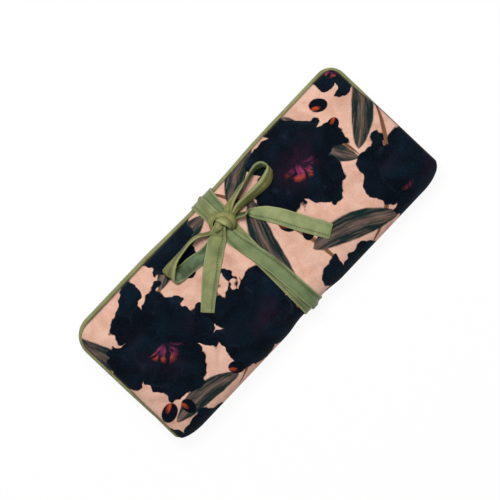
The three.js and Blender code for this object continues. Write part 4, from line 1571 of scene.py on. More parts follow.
@dataclass
class ClothPiece:
    """A flat piece of cotton that lies on a panel's lining, with hems and stitching."""

    form: RollForm
    side: Side
    finishes: Finishes
    thickness: float = 0.8 * MM
    clearance: float = 0.3 * MM
    step: float = 2.2 * MM
    hem: float = 1.6 * MM
    hem_steps: tuple[float, ...] = (0.0, 0.25, 0.8, 1.2, 1.6, 2.0, 2.6)
    fullness: float = 0.25 * MM
    groove: float = 0.22 * MM

    def places(self, low: float, high: float) -> Array:
        """Places from one hem to the other, closer together at the hems."""
        near = np.array(self.hem_steps) * self.hem
        middle = np.linspace(low + near[-1], high - near[-1], max(3, int((high - low) / self.step)))[1:-1]
        return np.concatenate([low + near, middle, (high - near)[::-1]])

    def lay(self, name: str, node: str, level: float, foot: float = 0.0) -> None:
        """Lays the cloth over the lining and sews it.

        Args:
            name: name of the piece.
            node: the solid that it stands for.
            level: depth of its hidden face where the lining is deeper down.
            foot: how far it comes down to the lining at its first edge.
        """
        low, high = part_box(node)
        x, y = np.meshgrid(self.places(low.x, high.x), self.places(low.y, high.y), indexing="ij")
        fall = foot * (1 - smooth((y - low.y) / (5 * MM)))
        base = self.form.lining_face(x, y - self.form.fold_y + self.form.arc)
        base = base + self.thickness + self.clearance + 0.15 * MM
        inset = np.minimum.reduce([x - low.x, high.x - x, y - low.y, high.y - y])
        waves = self.fullness * (ripples(x, y, 16 * MM, len(name)) + 0.6) * smooth(inset / (6 * MM))
        hidden = np.maximum(level - fall, base) + waves
        upper = hidden + self.thickness - self.groove * np.exp(-((inset - self.hem) / (0.3 * MM)) ** 2)
        rim = 0.3 * MM * (1 - smooth(inset / (0.4 * MM)))
        swell = 0.14 * MM * (inset < self.hem)
        faces = (self.points(x, y, depth) for depth in (upper - rim + swell, hidden + rim))
        piece = shell(name, *faces, net_of(x, y))
        fit(piece, self.finishes.pocket, node, self.side.body)
        net = self.points(x, y, upper + 0.05 * MM)
        lines = (net[4:-4, 4], net[4:-4, -5], net[4, 4:-4], net[-5, 4:-4])
        Stitch().sew(f"{name}_stitches", lines, (0, 0, -self.side.value), self.finishes.thread, "lining",
                     self.side.body)

    def points(self, x: Array, y: Array, depth: Array) -> Array:
        """Points at a depth below the panel's outside."""
        return net_of(x, y, self.form.thickness - depth if self.side is Side.FLAP else depth)


@dataclass
class Pockets:
    """The zipped pockets of the back panel: cloths, tapes, teeth, stops, slider and pull."""

    form: RollForm
    finishes: Finishes
    level: float = 7.1 * MM
    lower_foot: float = 1.8 * MM
    tooth_pitch: float = 1.25 * MM
    tooth_faces: int = 6
    tape_shares: tuple[float, ...] = (0, 0.03, 0.1, 0.25, 0.4, 0.55, 0.7, 0.8, 0.87, 0.93, 0.98, 1.0)
    slider_shares: tuple[Pair, ...] = ((0, 0.52), (0.06, 0.66), (0.3, 0.78), (0.62, 1.0), (0.9, 1.0),
                                       (1.0, 0.84))
    plate: float = 1.0 * MM
    plate_gap: float = 2.1 * MM
    bail: Pair = (2.0 * MM, 6.6 * MM)
    bail_radius: float = 0.45 * MM

    def build(self) -> None:
        """Builds both pockets."""
        cloth = ClothPiece(self.form, Side.BACK, self.finishes)
        for node in ("lower_pocket_panel", "upper_pocket_panel", "pocket_top_band"):
            cloth.lay(f"{node}_cloth", node, self.level, self.lower_foot if node.startswith("lower") else 0.0)
        for which in ("lower", "upper"):
            for edge, towards in (("near", 1), ("far", -1)):
                self.tape(f"{which}_zip_tape_{edge}", towards)
                self.teeth(f"{which}_zip_coil_{edge}", towards)
            for end in ("bottom", "top"):
                self.stop(f"{which}_zip_stop_{end}")
            self.slider(f"{which}_zip_slider", f"{which}_slider")
            self.pull(f"{which}_zip_pull", f"{which}_pull")

    def tape(self, node: str, towards: int) -> None:
        """A woven tape with a corded edge beside the teeth.

        Args:
            node: the solid that it stands for.
            towards: 1 where the teeth are at its high side, -1 where they are at its low side.
        """
        low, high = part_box(node)
        shares = np.array(self.tape_shares)
        across = shares if towards > 0 else 1 - shares[::-1]
        towards_teeth = across if towards > 0 else 1 - across
        x, y = np.meshgrid(np.linspace(low.x, high.x, 120), low.y + across * (high.y - low.y), indexing="ij")
        cord = 0.22 * MM * np.exp(-((towards_teeth - 0.88) / 0.07) ** 2)
        ends = 0.2 * MM * (1 - smooth(np.minimum(towards_teeth, 1 - towards_teeth) / 0.03))
        waves = 0.06 * MM * ripples(x, y, 12 * MM, 3 + len(node))
        outer = net_of(x, y, high.z + cord - ends + waves - 0.1 * MM)
        piece = shell(f"{node}_weave", outer, net_of(x, y, low.z + ends + waves), net_of(x, y))
        fit(piece, self.finishes.tape, node, "back")
        line = outer[4:-4, 2 if towards > 0 else -3] + (0, 0, 0.05 * MM)
        stitch = Stitch(1.5 * MM, 2.2 * MM, 0.25 * MM)
        stitch.sew(f"{node}_stitches", [line], (0, 0, 1), self.finishes.thread, "zip_tape", "back")

    def teeth(self, node: str, towards: int) -> None:
        """A row of coil teeth, each a small arched loop of nylon.

        Args:
            node: the solid that it stands for.
            towards: 1 where they reach to the high side, -1 where they reach to the low side.
        """
        low, high, middle, size = room(node)
        wide, tall = size[1] / 2, size[2] / 2
        angles = np.linspace(0.1, 2 * math.pi - 0.1, 9)
        lean = np.linspace(-0.25, 0.25, len(angles)) * self.tooth_pitch
        arch = net_of(lean, np.cos(angles) * towards * wide * 0.72, np.sin(angles) * tall * 0.72)
        tangents = unit(np.gradient(arch, axis=0))
        first = unit((1.0, 0, 0) - tangents * tangents[:, :1])
        radii = np.full((len(arch), self.tooth_faces), wide * 0.28)
        tooth = rings_about(arch, radii, first, np.cross(tangents, first)).reshape(-1, 3) + middle * (0, 1, 1)
        start = low.x + self.tooth_pitch * (0.5 if towards > 0 else 1.0)
        places = np.arange(start, high.x - self.tooth_pitch / 2, self.tooth_pitch)
        points = np.vstack([tooth + (x, 0, 0) for x in places])
        faces = copies(ring_faces(len(arch), self.tooth_faces, False), len(places), len(tooth))
        fit(make_piece(f"{node}_teeth", points, faces), self.finishes.nylon, node, "back")

    def metal(self, node: str, pieces: Sequence[bpy.types.Object], body: str) -> None:
        """Joins the gilt parts that stand for one solid, on a body."""
        fit(joined(f"{node}_gilt", pieces), self.finishes.gilt, node, body)

    def stop(self, node: str) -> None:
        """A gilt stop: two arms that clasp the tapes, and the bridge between them."""
        low, high, middle, _ = room(node)
        spans = ((low.y, middle[1] - 0.35 * MM), (middle[1] + 0.35 * MM, high.y))
        arms = [block(f"{node}_{number}", (low.x, a, low.z), (high.x, b, high.z), 0.3 * MM)
                for number, (a, b) in enumerate(spans)]
        inset = np.array((0.5, 0.4, 0.35)) * MM
        bridge = block(f"{node}_bridge", low + Vector(inset), high - Vector(inset), 0.2 * MM)
        self.metal(node, [*arms, bridge], "back")

    def slider(self, node: str, body: str) -> None:
        """Two tapered plates, the wedge between them and the bail that holds the pull.

        Args:
            node: the solid that they stand for.
            body: the body that carries them.
        """
        low, high, (_, middle, _), (length, wide, _) = room(node)
        shares = np.array(self.slider_shares)
        halves = ((sign, row) for sign, rows in ((1, shares), (-1, shares[::-1])) for row in rows)
        outline = [(low.x + a * length, middle + sign * b * wide / 2) for sign, (a, b) in halves]
        second = low.z + self.plate + self.plate_gap
        plates = [self.slab(f"{node}_plate_{number}", outline, bottom, bottom + self.plate)
                  for number, bottom in enumerate((low.z, second))]
        plates = [round_edges(plate, 0.25 * MM) for plate in plates]
        wedge = block(f"{node}_wedge", (high.x - 2.6 * MM, middle - 0.6 * MM, low.z + 0.9 * MM),
                      (high.x - 0.8 * MM, middle + 0.6 * MM, low.z + 3.2 * MM), 0.3 * MM)
        foot = second + self.plate - 0.1 * MM
        t = np.linspace(0, math.pi, 17)
        half_span = (self.bail[1] - self.bail[0]) / 2
        sweep = np.sign(np.cos(t)) * np.abs(np.cos(t)) ** 0.6 * half_span
        bail = net_of(low.x + self.bail[0] + half_span - sweep, middle,
                      foot + (high.z - 0.4 * MM - foot) * np.sin(t) ** 0.6)
        loop = swept(f"{node}_bail", bail, np.full(len(bail), self.bail_radius), 12)
        self.metal(node, [*plates, wedge, loop], body)

    def slab(self, name: str, outline: Sequence[Pair], low: float, high: float) -> bpy.types.Object:
        """A flat plate.

        Args:
            name: name of the piece.
            outline: its corners in plan.
            low: height of its lower face.
            high: height of its upper face.

        Returns:
            The new object.
        """
        count = len(outline)
        points = np.array([(*point, z) for z in (low, high) for point in outline])
        sides = [(k, (k + 1) % count, (k + 1) % count + count, k + count) for k in range(count)]
        return make_piece(name, points, [tuple(range(count))[::-1], tuple(range(count, 2 * count)), *sides])

    def pull(self, node: str, body: str) -> None:
        """The pull tab: a long loop that narrows to its eye, with a raised rim and a ribbed grip.

        Args:
            node: the solid that it stands for.
            body: the body that carries it.
        """
        low, high, (_, y, z), (length, wide, tall) = room(node)
        bar = tall / 2
        inner = wide / 2 - bar
        t = np.linspace(0, 2 * math.pi, 61)[:-1]
        x = low.x + length / 2 + np.cos(t) * (length / 2 - bar)
        taper = 0.72 + 0.28 * smooth((high.x - x) / length)
        ring = net_of(x, y + np.sign(np.sin(t)) * np.abs(np.sin(t)) ** 0.55 * inner * taper, z)
        ring = np.vstack([ring, ring[:1]])
        rim = swept(f"{node}_rim", ring, np.full(len(ring), bar * 0.96), 10)
        grip = block(f"{node}_grip", (low.x + 1.0 * MM, y - inner, z - 0.25 * MM),
                     (high.x - 4.6 * MM, y + inner, z + 0.25 * MM), 0.15 * MM)
        starts = [low.x + (2.6 + 1.1 * number) * MM for number in range(4)]
        ribs = [block(f"{node}_rib_{number}", (start, y - 1.1 * MM, z - 0.36 * MM),
                      (start + 0.5 * MM, y + 1.1 * MM, z + 0.36 * MM), 0.12 * MM)
                for number, start in enumerate(starts)]
        self.metal(node, [rim, grip, *ribs], body)


@dataclass
class FlapFittings:
    """What is sewn to the flap's inside: the slip pocket and the ring bar with its snap."""

    form: RollForm
    finishes: Finishes
    pocket_level: float = 5.3 * MM
    puckers: int = 9
    binding_shares: tuple[float, ...] = (0, 0.03, 0.1, 0.2, 0.35, 0.5, 0.65, 0.8, 0.9, 0.97, 1)
    cushion_ends: tuple[float, ...] = (0, 0.004, 0.01, 0.02, 0.034, 0.05, 0.07)
    tongue_end: tuple[float, ...] = (0.25, 0.2, 0.15, 0.1, 0.06, 0.03, 0.01, 0.0)
    tongue_across: tuple[float, ...] = (0, 0.25, 0.5, 0.75, 0.88, 0.97, 1)
    patch_profile: tuple[Pair, ...] = ((0, 0), (0.5, 0), (0.86, 0.06), (0.96, 0.24), (1, 0.55), (0.97, 0.95),
                                       (0.9, 1), (0, 1))
    stud_profile: tuple[Pair, ...] = ((0, 0), (0.2, 0), (0.27, 0.08), (0.3, 0.24), (0.24, 0.4), (0.26, 0.5),
                                      (0.62, 0.55), (0.7, 0.48), (0.86, 0.46), (0.96, 0.56), (1, 0.74),
                                      (0.97, 0.94), (0.88, 1), (0, 1))
    socket_profile: tuple[Pair, ...] = ((0, 0), (0.86, 0), (0.96, 0.1), (1, 0.34), (0.97, 0.62), (0.88, 0.74),
                                        (0.66, 0.78), (0.6, 1), (0.44, 1), (0.38, 0.86), (0.36, 0.4),
                                        (0, 0.4))

    def build(self) -> None:
        """Builds the slip pocket and the ring bar."""
        finishes = self.finishes
        cloth = ClothPiece(self.form, Side.FLAP, finishes)
        cloth.lay("slip_pocket_cloth", "slip_pocket_panel", self.pocket_level)
        self.binding()
        self.turn("ring_bar_patch", "cotton", self.patch_profile, 40, finishes.pocket, "lining", "flap")
        self.cushion()
        self.tongue()
        self.turn("snap_stud", "gilt", self.stud_profile, 48, finishes.gilt, "gilt", "flap")
        self.turn("snap_socket", "gilt", self.socket_profile, 48, finishes.gilt, "gilt", "ring_bar")

    def turn(self, node: str, stuff: str, profile: Sequence[Pair], sides: int, material: bpy.types.Material,
             slot: str, body: str) -> None:
        """A round piece in the place of a solid.

        Args:
            node: the solid.
            stuff: what the piece is made of, for its name.
            profile: its radius and height as shares of the solid's.
            sides: sides of the turned form.
            material: its finish.
            slot: not used.
            body: the body that carries it.
        """
        low, _, middle, size = room(node)
        sized = [(a * size[0] / 2, b * size[2]) for a, b in profile]
        piece = turned(f"{node}_{stuff}", sized, (middle[0], middle[1], low.z), sides)
        fit(piece, material, node, body)

    def binding(self) -> None:
        """The bias binding over the slip pocket's open edge."""
        node = "slip_pocket_binding"
        low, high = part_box(node)
        shares = np.array(self.binding_shares)
        swell = np.sin(shares * math.pi) ** 0.45
        x, y = np.meshgrid(np.linspace(low.x, high.x, 150), low.y + shares * (high.y - low.y), indexing="ij")
        waves = 0.08 * MM * ripples(x, y, 8 * MM, 21)
        outer = net_of(x, y, high.z - (high.z - low.z) * (0.25 + 0.7 * swell) + waves)
        piece = shell(f"{node}_bias", outer, net_of(x, y, high.z - 0.05 * MM), net_of(x, y - low.y))
        fit(piece, self.finishes.piping[Side.FLAP], node, "flap")
        line = outer[3:-3, -4] - (0, 0, 0.05 * MM)
        Stitch().sew(f"{node}_stitches", [line], (0, 0, -1), self.finishes.thread, "piping", "flap")

    def cushion(self) -> None:
        """The stuffed ring bar, gathered at both ends."""
        low, high, (_, y, z), (length, _, tall) = room("ring_bar_cushion")
        radius = tall / 2
        ends = np.array(self.cushion_ends)
        x = low.x + np.concatenate([ends, np.linspace(0.09, 0.91, 90), 1 - ends[::-1]]) * length
        near = np.minimum(x - low.x, high.x - x)[:, None]
        swell = np.sqrt(np.clip(1 - (1 - np.clip(near / (radius * 1.1), 0, 1)) ** 2, 0, 1))
        angles = np.linspace(0, 2 * math.pi, 40, endpoint=False)
        gather = 0.05 * np.cos(angles * self.puckers) * np.exp(-near / (3.5 * MM))
        lumps = 0.022 * ripples(x[:, None], radius * angles, 15 * MM, 9)
        radii = radius * (0.22 + 0.78 * swell) * (0.975 + gather + np.minimum(lumps, 0.022))
        middle = net_of(x, y, z)
        piece = swept("ring_bar_stuffed", middle, np.minimum(radii, radius), 40)
        fit(piece, self.finishes.pocket, "ring_bar_cushion", "ring_bar")
        line = middle[8:-8] - (0, 0, radius * 0.97)
        Stitch(2.0 * MM, 3.0 * MM).sew("ring_bar_seam", [line], (0, 0, -1), self.finishes.thread, "lining",
                                       "ring_bar")

    def tongue(self) -> None:
        """The cloth tongue with a round end that carries the snap's socket."""
        node = "ring_bar_tongue"
        low, _, middle, (length, wide, tall) = room(node)
        half = wide / 2
        share = np.concatenate([np.linspace(0, 0.7, 12), 1 - np.array(self.tongue_end)])
        across = np.array(self.tongue_across)
        across = np.concatenate([-across[:0:-1], across])
        end = np.clip((share * length - (length - half)) / half, 0, 1)
        y = middle[1] + across * (half * np.sqrt(np.maximum(1 - end**2, 0.0004)))[:, None]
        x = (low.x + share * length)[:, None]
        soft = (1 - 0.6 * smooth((np.abs(across) - 0.8) / 0.2)) * tall / 2
        outer, inner = (net_of(x, y, middle[2] + sign * soft) for sign in (-1, 1))
        piece = shell(f"{node}_cotton", outer, inner, net_of(x, y))
        fit(piece, self.finishes.pocket, node, "ring_bar")
        edge = np.vstack([outer[1:-2, 2], outer[-3, 3:-3], outer[1:-2, -3][::-1]]) - (0, 0, 0.04 * MM)
        stitch = Stitch(1.2 * MM, 1.8 * MM, 0.22 * MM)
        stitch.sew(f"{node}_stitches", [edge], (0, 0, -1), self.finishes.thread, "lining", "ring_bar")


@dataclass
class Ground:
    """Height of everything that the bow's straps lie on, seen from above."""

    low: Pair = (-72 * MM, -60 * MM)
    high: Pair = (72 * MM, 54 * MM)
    cell: float = 0.6 * MM
    finer: int = 3
    heights: Optional[Array] = None

    def spread(self, panel: Panel) -> None:
        """Takes the height of the flap's velvet."""
        form = panel.form
        axes = (np.arange(a, b, self.cell) for a, b in zip(self.low, self.high))
        x, y = np.meshgrid(*axes, indexing="ij")
        v = y - form.fold_y + form.arc
        heights = panel.outer_face(x, np.clip(v, 0, form.reach))[..., 2]
        self.heights = np.where(v > form.reach, heights - 2 * (v - form.reach), heights)

    def at(self, x: Array, y: Array) -> Array:
        """Height at any place."""
        return between(self.heights, (x - self.low[0]) / self.cell, (y - self.low[1]) / self.cell)

    def raise_under(self, net: Array, limit: float) -> None:
        """Raises the ground to a strap that lies on it.

        Args:
            net: points of the strap's upper face.
            limit: parts higher than this over the ground are left out.
        """
        rows, columns = (np.linspace(0, count - 1, count * self.finer) for count in net.shape[:2])
        fine = between(net, rows[:, None], columns[None]).reshape(-1, 3)
        fine = fine[fine[:, 2] < self.at(fine[:, 0], fine[:, 1]) + limit]
        cells = ((fine[:, :2] - self.low) / self.cell).round().astype(int)
        i, j = np.clip(cells, 0, np.array(self.heights.shape) - 1).T
        raised = self.heights.copy()
        np.maximum.at(raised, (i, j), fine[:, 2])
        padded = np.pad(raised, 1, mode="edge")
        blurred = sum(padded[1 + a:padded.shape[0] - 1 + a, 1 + b:padded.shape[1] - 1 + b]
                      for a in (-1, 0, 1) for b in (-1, 0, 1)) / 9
        self.heights = np.maximum(self.heights, 0.5 * (blurred + raised))


@dataclass(frozen=True)
class Strap:
    """The folded and top-stitched strap that the tie is made of."""

    # which copy of the sateen, with its painted lit and shaded tones, the strap takes
    cast: Cast = Cast.PLAIN
    hem_first: bool = True
    width: float = 10.5 * MM
    thickness: float = 1.1 * MM
    step: float = 0.9 * MM
    clearance: float = 0.12 * MM
    hem_share: float = 0.22
    hem_lean: float = 0.48
    across_shares: tuple[float, ...] = (0, 0.03, 0.08, 0.16, 0.22, 0.28, 0.36, 0.46, 0.57, 0.68, 0.78, 0.87,
                                        0.94, 0.98, 1)

    def across(self) -> Array:
        """Places across the strap, from one edge to the other."""
        shares = np.array(self.across_shares)
        return shares if self.hem_first else 1 - shares[::-1]

    def heights(self) -> Array:
        """Thickness across the strap, with soft edges and a groove along the stitching."""
        shares = np.array(self.across_shares)
        edge = np.minimum(shares, 1 - shares)
        body = 0.45 + 0.55 * np.sqrt(np.clip(edge / 0.08, 0, 1))
        hem = np.where(shares < self.hem_share, 0.24, 0.0)
        groove = 0.55 * np.exp(-((shares - self.hem_share) / 0.03) ** 2)
        row = self.thickness * (body + hem - groove)
        return row if self.hem_first else row[::-1]

    def sew(self, name: str, net: Array, normals: Array, finishes: Finishes) -> None:
        """A row of stitches along the hem on one face."""
        column = 4 if self.hem_first else -5
        line = net[:, column] + normals[:, column] * 0.02 * MM
        Stitch(1.3 * MM, 2.0 * MM).sew(name, [line], normals[:, column], finishes.thread, "sateen", "tie")

    def cover(self, name: str, middle: Array, finishes: Finishes, outward: float,
              face: int = 1) -> bpy.types.Object:
        """The strap about a net of its middle points, with its row of stitches.

        Args:
            name: name of the piece.
            middle: points midway through the cloth, rows along and columns across.
            finishes: the materials.
            outward: -1 where the net's normals point inwards.
            face: 1 where the good side of the cloth is outside, -1 where its reverse is.

        Returns:
            The strap.
        """
        normals = net_normals(middle) * outward
        half = self.heights()[:, None] / 2
        outer, inner = middle + normals * half, middle - normals * half
        share = self.across() if self.hem_first else 1 - self.across()
        faces = (outer, inner) if face > 0 else (inner, outer)
        piece = shell(name, *faces, grid(run_along(middle.mean(axis=1)), share * self.width), reverse=1.0)
        dress(piece, finishes.sateen[self.cast])
        rounding = piece.modifiers.new("rounding", "SUBSURF")
        rounding.levels = rounding.render_levels = 1
        self.sew(f"{name}_stitches", outer, normals, finishes)
        facing_down = np.flatnonzero(normals[:, 4, 2] < 0.1)
        if face < 0 and len(facing_down) > 1:
            rows = slice(facing_down[0], facing_down[-1] + 1)
            self.sew(f"{name}_far_stitches", inner[rows], -normals[rows], finishes)
        return piece

    def lay(self, rows: Sequence[Sequence[float]], ground: Ground, arch: float, waves: int = 0) -> Array:
        """Lays the strap along pairs of edge points.

        Args:
            rows: for each station, x, y and height over the ground of one edge and of the other,
                in millimetres.
            ground: what it lies on.
            arch: how far the middle of the strap stands out of the line between its edges.
            waves: seed of the slight unevenness.

        Returns:
            Points midway through the cloth.
        """
        knots = np.asarray(rows, float) * MM
        length = run_along((knots[:, :3] + knots[:, 3:]) / 2)[-1]
        stations = spline(knots, max(6, int(length / self.step)))
        first, second = stations[:, None, :3].copy(), stations[:, None, 3:].copy()
        for edge in (first, second):
            edge[..., 2] += ground.at(edge[..., 0], edge[..., 1])
        t = self.across()[:, None]
        standing = smooth(np.abs(first[..., 2:] - second[..., 2:]) / (0.7 * self.width))
        lean = 1 - self.hem_lean * standing
        plan = t**lean if self.hem_first else 1 - (1 - t) ** lean
        net = first * (1 - plan) + second * plan
        net[..., 2:] = first[..., 2:] * (1 - t) + second[..., 2:] * t
        along = unit(np.gradient((first + second)[:, 0], axis=0))[:, None, :]
        out = unit(np.cross(along, unit(second - first)))
        out = out * np.where(out[..., 2:] < 0, -1, 1)
        uneven = 1 + 0.35 * ripples(net[..., 0], net[..., 1], 7 * MM, 40 + waves)[..., None]
        net = net + out * (arch * 4 * t * (1 - t)) * uneven
        floor = ground.at(net[..., 0], net[..., 1]) + self.thickness / 2 + self.clearance
        net[..., 2] = np.maximum(net[..., 2] + self.thickness / 2, floor)
        return soften(net, 2)


def soften(net: Array, times: int) -> Array:
    """Evens a net's rows out without moving its first and last row."""
    net = net.copy()
    for _ in range(times):
        net[1:-1] = (net[:-2] + 2 * net[1:-1] + net[2:]) / 4
    return net


@dataclass
class Turns:
    """The tie's two turns round the waist, one strap that crosses itself on the flap."""

    panels: Sequence[Panel]
    finishes: Finishes
    ground: Ground
    strap: Strap = Strap()
    knot_y: float = 30 * MM
    fade: float = 2.2 * MM
    lap_gap: float = 0.75 * MM

    def section(self) -> Array:
        """Outline of the drawn-in roll across its waist, as a taut strap follows it."""
        points = []
        for panel in self.panels:
            v = np.linspace(0, panel.form.reach, 160)
            points.append(panel.outer_face(v * 0, v)[:, 1:])
            path = panel.piping_path()
            middle = path[np.argmin(np.abs(path[:, 0]))][1:]
            points.append(middle + net_of(*circle(24)) * panel.piping_radius)
        return hull(np.vstack(points))

    def loop(self) -> tuple[Array, Array, Array]:
        """The way round the waist.

        Returns:
            Points, outward normals and distances from the top at the knot, which run over the
            flap to the fold, below the back and up round the open edge.
        """
        outline = self.section()
        outline = np.vstack([outline, outline[:1]])
        run = run_along(outline)
        even = read_at(np.linspace(0, run[-1], 721)[:-1], run, outline)
        for _ in range(3):
            even = (np.roll(even, 1, axis=0) + 2 * even + np.roll(even, -1, axis=0)) / 4
        top = int(np.argmin(np.abs(even[:, 0] - self.knot_y) + (even[:, 1] < self.panels[0].form.radius)))
        even = np.roll(even, -top, axis=0)
        if even[20, 0] > even[0, 0]:
            even = np.roll(even[::-1], 1, axis=0)
        even = np.vstack([even, even[:1]])
        tangents = unit(np.gradient(even, axis=0))
        normals = net_of(tangents[:, 1], -tangents[:, 0])
        inside = even - even.mean(axis=0)
        if np.linalg.norm(inside + normals, axis=1).mean() < np.linalg.norm(inside, axis=1).mean():
            normals = -normals
        return even, normals, run_along(even)

    def middles(self, even: Array, distance: Array) -> tuple[Array, Array]:
        """Where the middle of the strap is along the roll, on each turn.

        Args:
            even: points of the way round.
            distance: their distances from its start.

        Returns:
            Two rows of x, one for each point of the way round.
        """
        fold = distance[np.argmin(even[:, 0])]
        edge = distance[np.argmax(np.where(distance > fold, even[:, 0], -1))]
        total = distance[-1]
        quarter = (edge - fold) * 0.22
        leaving = [fold * share for share in (0, 0.13, 0.33, 0.49, 0.68)]
        places = [*leaving, fold, fold + quarter, edge - quarter, edge, total - 6 * MM, total]
        first = np.array([-2.6, -3.9, -0.9, 1.2, 2.3, 3.4, 5.5, 5.5, 5.2, 2.6, 2.0]) * MM
        second = np.array([0.9, -0.1, -0.9, -1.1, -1.7, -2.7, -5.3, -5.4, -3.7, -3.2, -2.6]) * MM
        return tuple(spline_at(places, values, distance) for values in (first, second))

    def build(self) -> None:
        """Lays both turns; the crossing turn lies over the other on the flap."""
        even, normals, distance = self.loop()
        first, second = self.middles(even, distance)
        top = even[:, 1] > self.panels[0].form.radius
        late = np.arange(len(even)) > int(np.argmin(even[:, 0]))
        # the first turn takes the cool copy of the sateen, whose darker painted tones stand for the shade
        # where it runs under the second turn
        spans = {"first": (first, second, top & ~late, replace(self.strap, cast=Cast.COOL, hem_first=False)),
                 "second": (second, first, top & late, self.strap)}
        for name, (own, other, over, strap) in spans.items():
            x = own[:, None] + (strap.across() - 0.5) * strap.width
            beside = np.abs(x - other[:, None]) - strap.width / 2
            where = np.convolve(over.astype(float), np.ones(21) / 21, mode="same")
            raised = (strap.thickness + self.lap_gap) * smooth(1 - beside / self.fade) * where[:, None]
            slack = 0.12 * MM * ripples(x, distance[:, None], 16 * MM, 60) * top[:, None]
            offset = strap.thickness / 2 + strap.clearance + raised + np.maximum(slack, 0)
            net = net_of(x, *(even[:, k, None] + normals[:, k, None] * offset for k in (0, 1)))
            net = soften(net, 6)
            trimmed = net[4:-4:2]
            piece = strap.cover(f"tie_{name}_turn", trimmed, self.finishes, outward_sign(trimmed))
            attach(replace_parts(piece, f"tie_turn_{name}"), "tie")
            upper = net[net[:, 0, 2] > self.panels[0].form.radius]
            self.ground.raise_under(upper + (0, 0, strap.thickness / 2), 4 * MM)


def outward_sign(net: Array) -> float:
    """1 where a ring-like net's normals point away from its middle, otherwise -1."""
    away = (net - net.mean(axis=(0, 1))) * net_normals(net)
    return 1.0 if away.sum() > 0 else -1.0


def spline_at(places: Sequence[float], values: Array, wanted: Array) -> Array:
    """Smooth curve through values at places, read at the wanted places."""
    curve = spline(np.column_stack([places, values]), 400, slice(0, 1))
    return np.interp(wanted, curve[:, 0], curve[:, 1])


def hull(points: Array) -> Array:
    """Corner points of the smallest convex outline round flat points."""
    ordered = sorted(map(tuple, points))

    def chain(row: Iterable[Pair]) -> list[Pair]:
        """One side of the outline, without its last corner."""
        corners: list[Pair] = []
        for point in row:
            while len(corners) > 1:
                (ax, ay), (bx, by) = corners[-2:]
                if (bx - ax) * (point[1] - ay) - (by - ay) * (point[0] - ax) > 0:
                    break
                corners.pop()
            corners.append(point)
        return corners[:-1]

    return np.array(chain(ordered) + chain(reversed(ordered)))


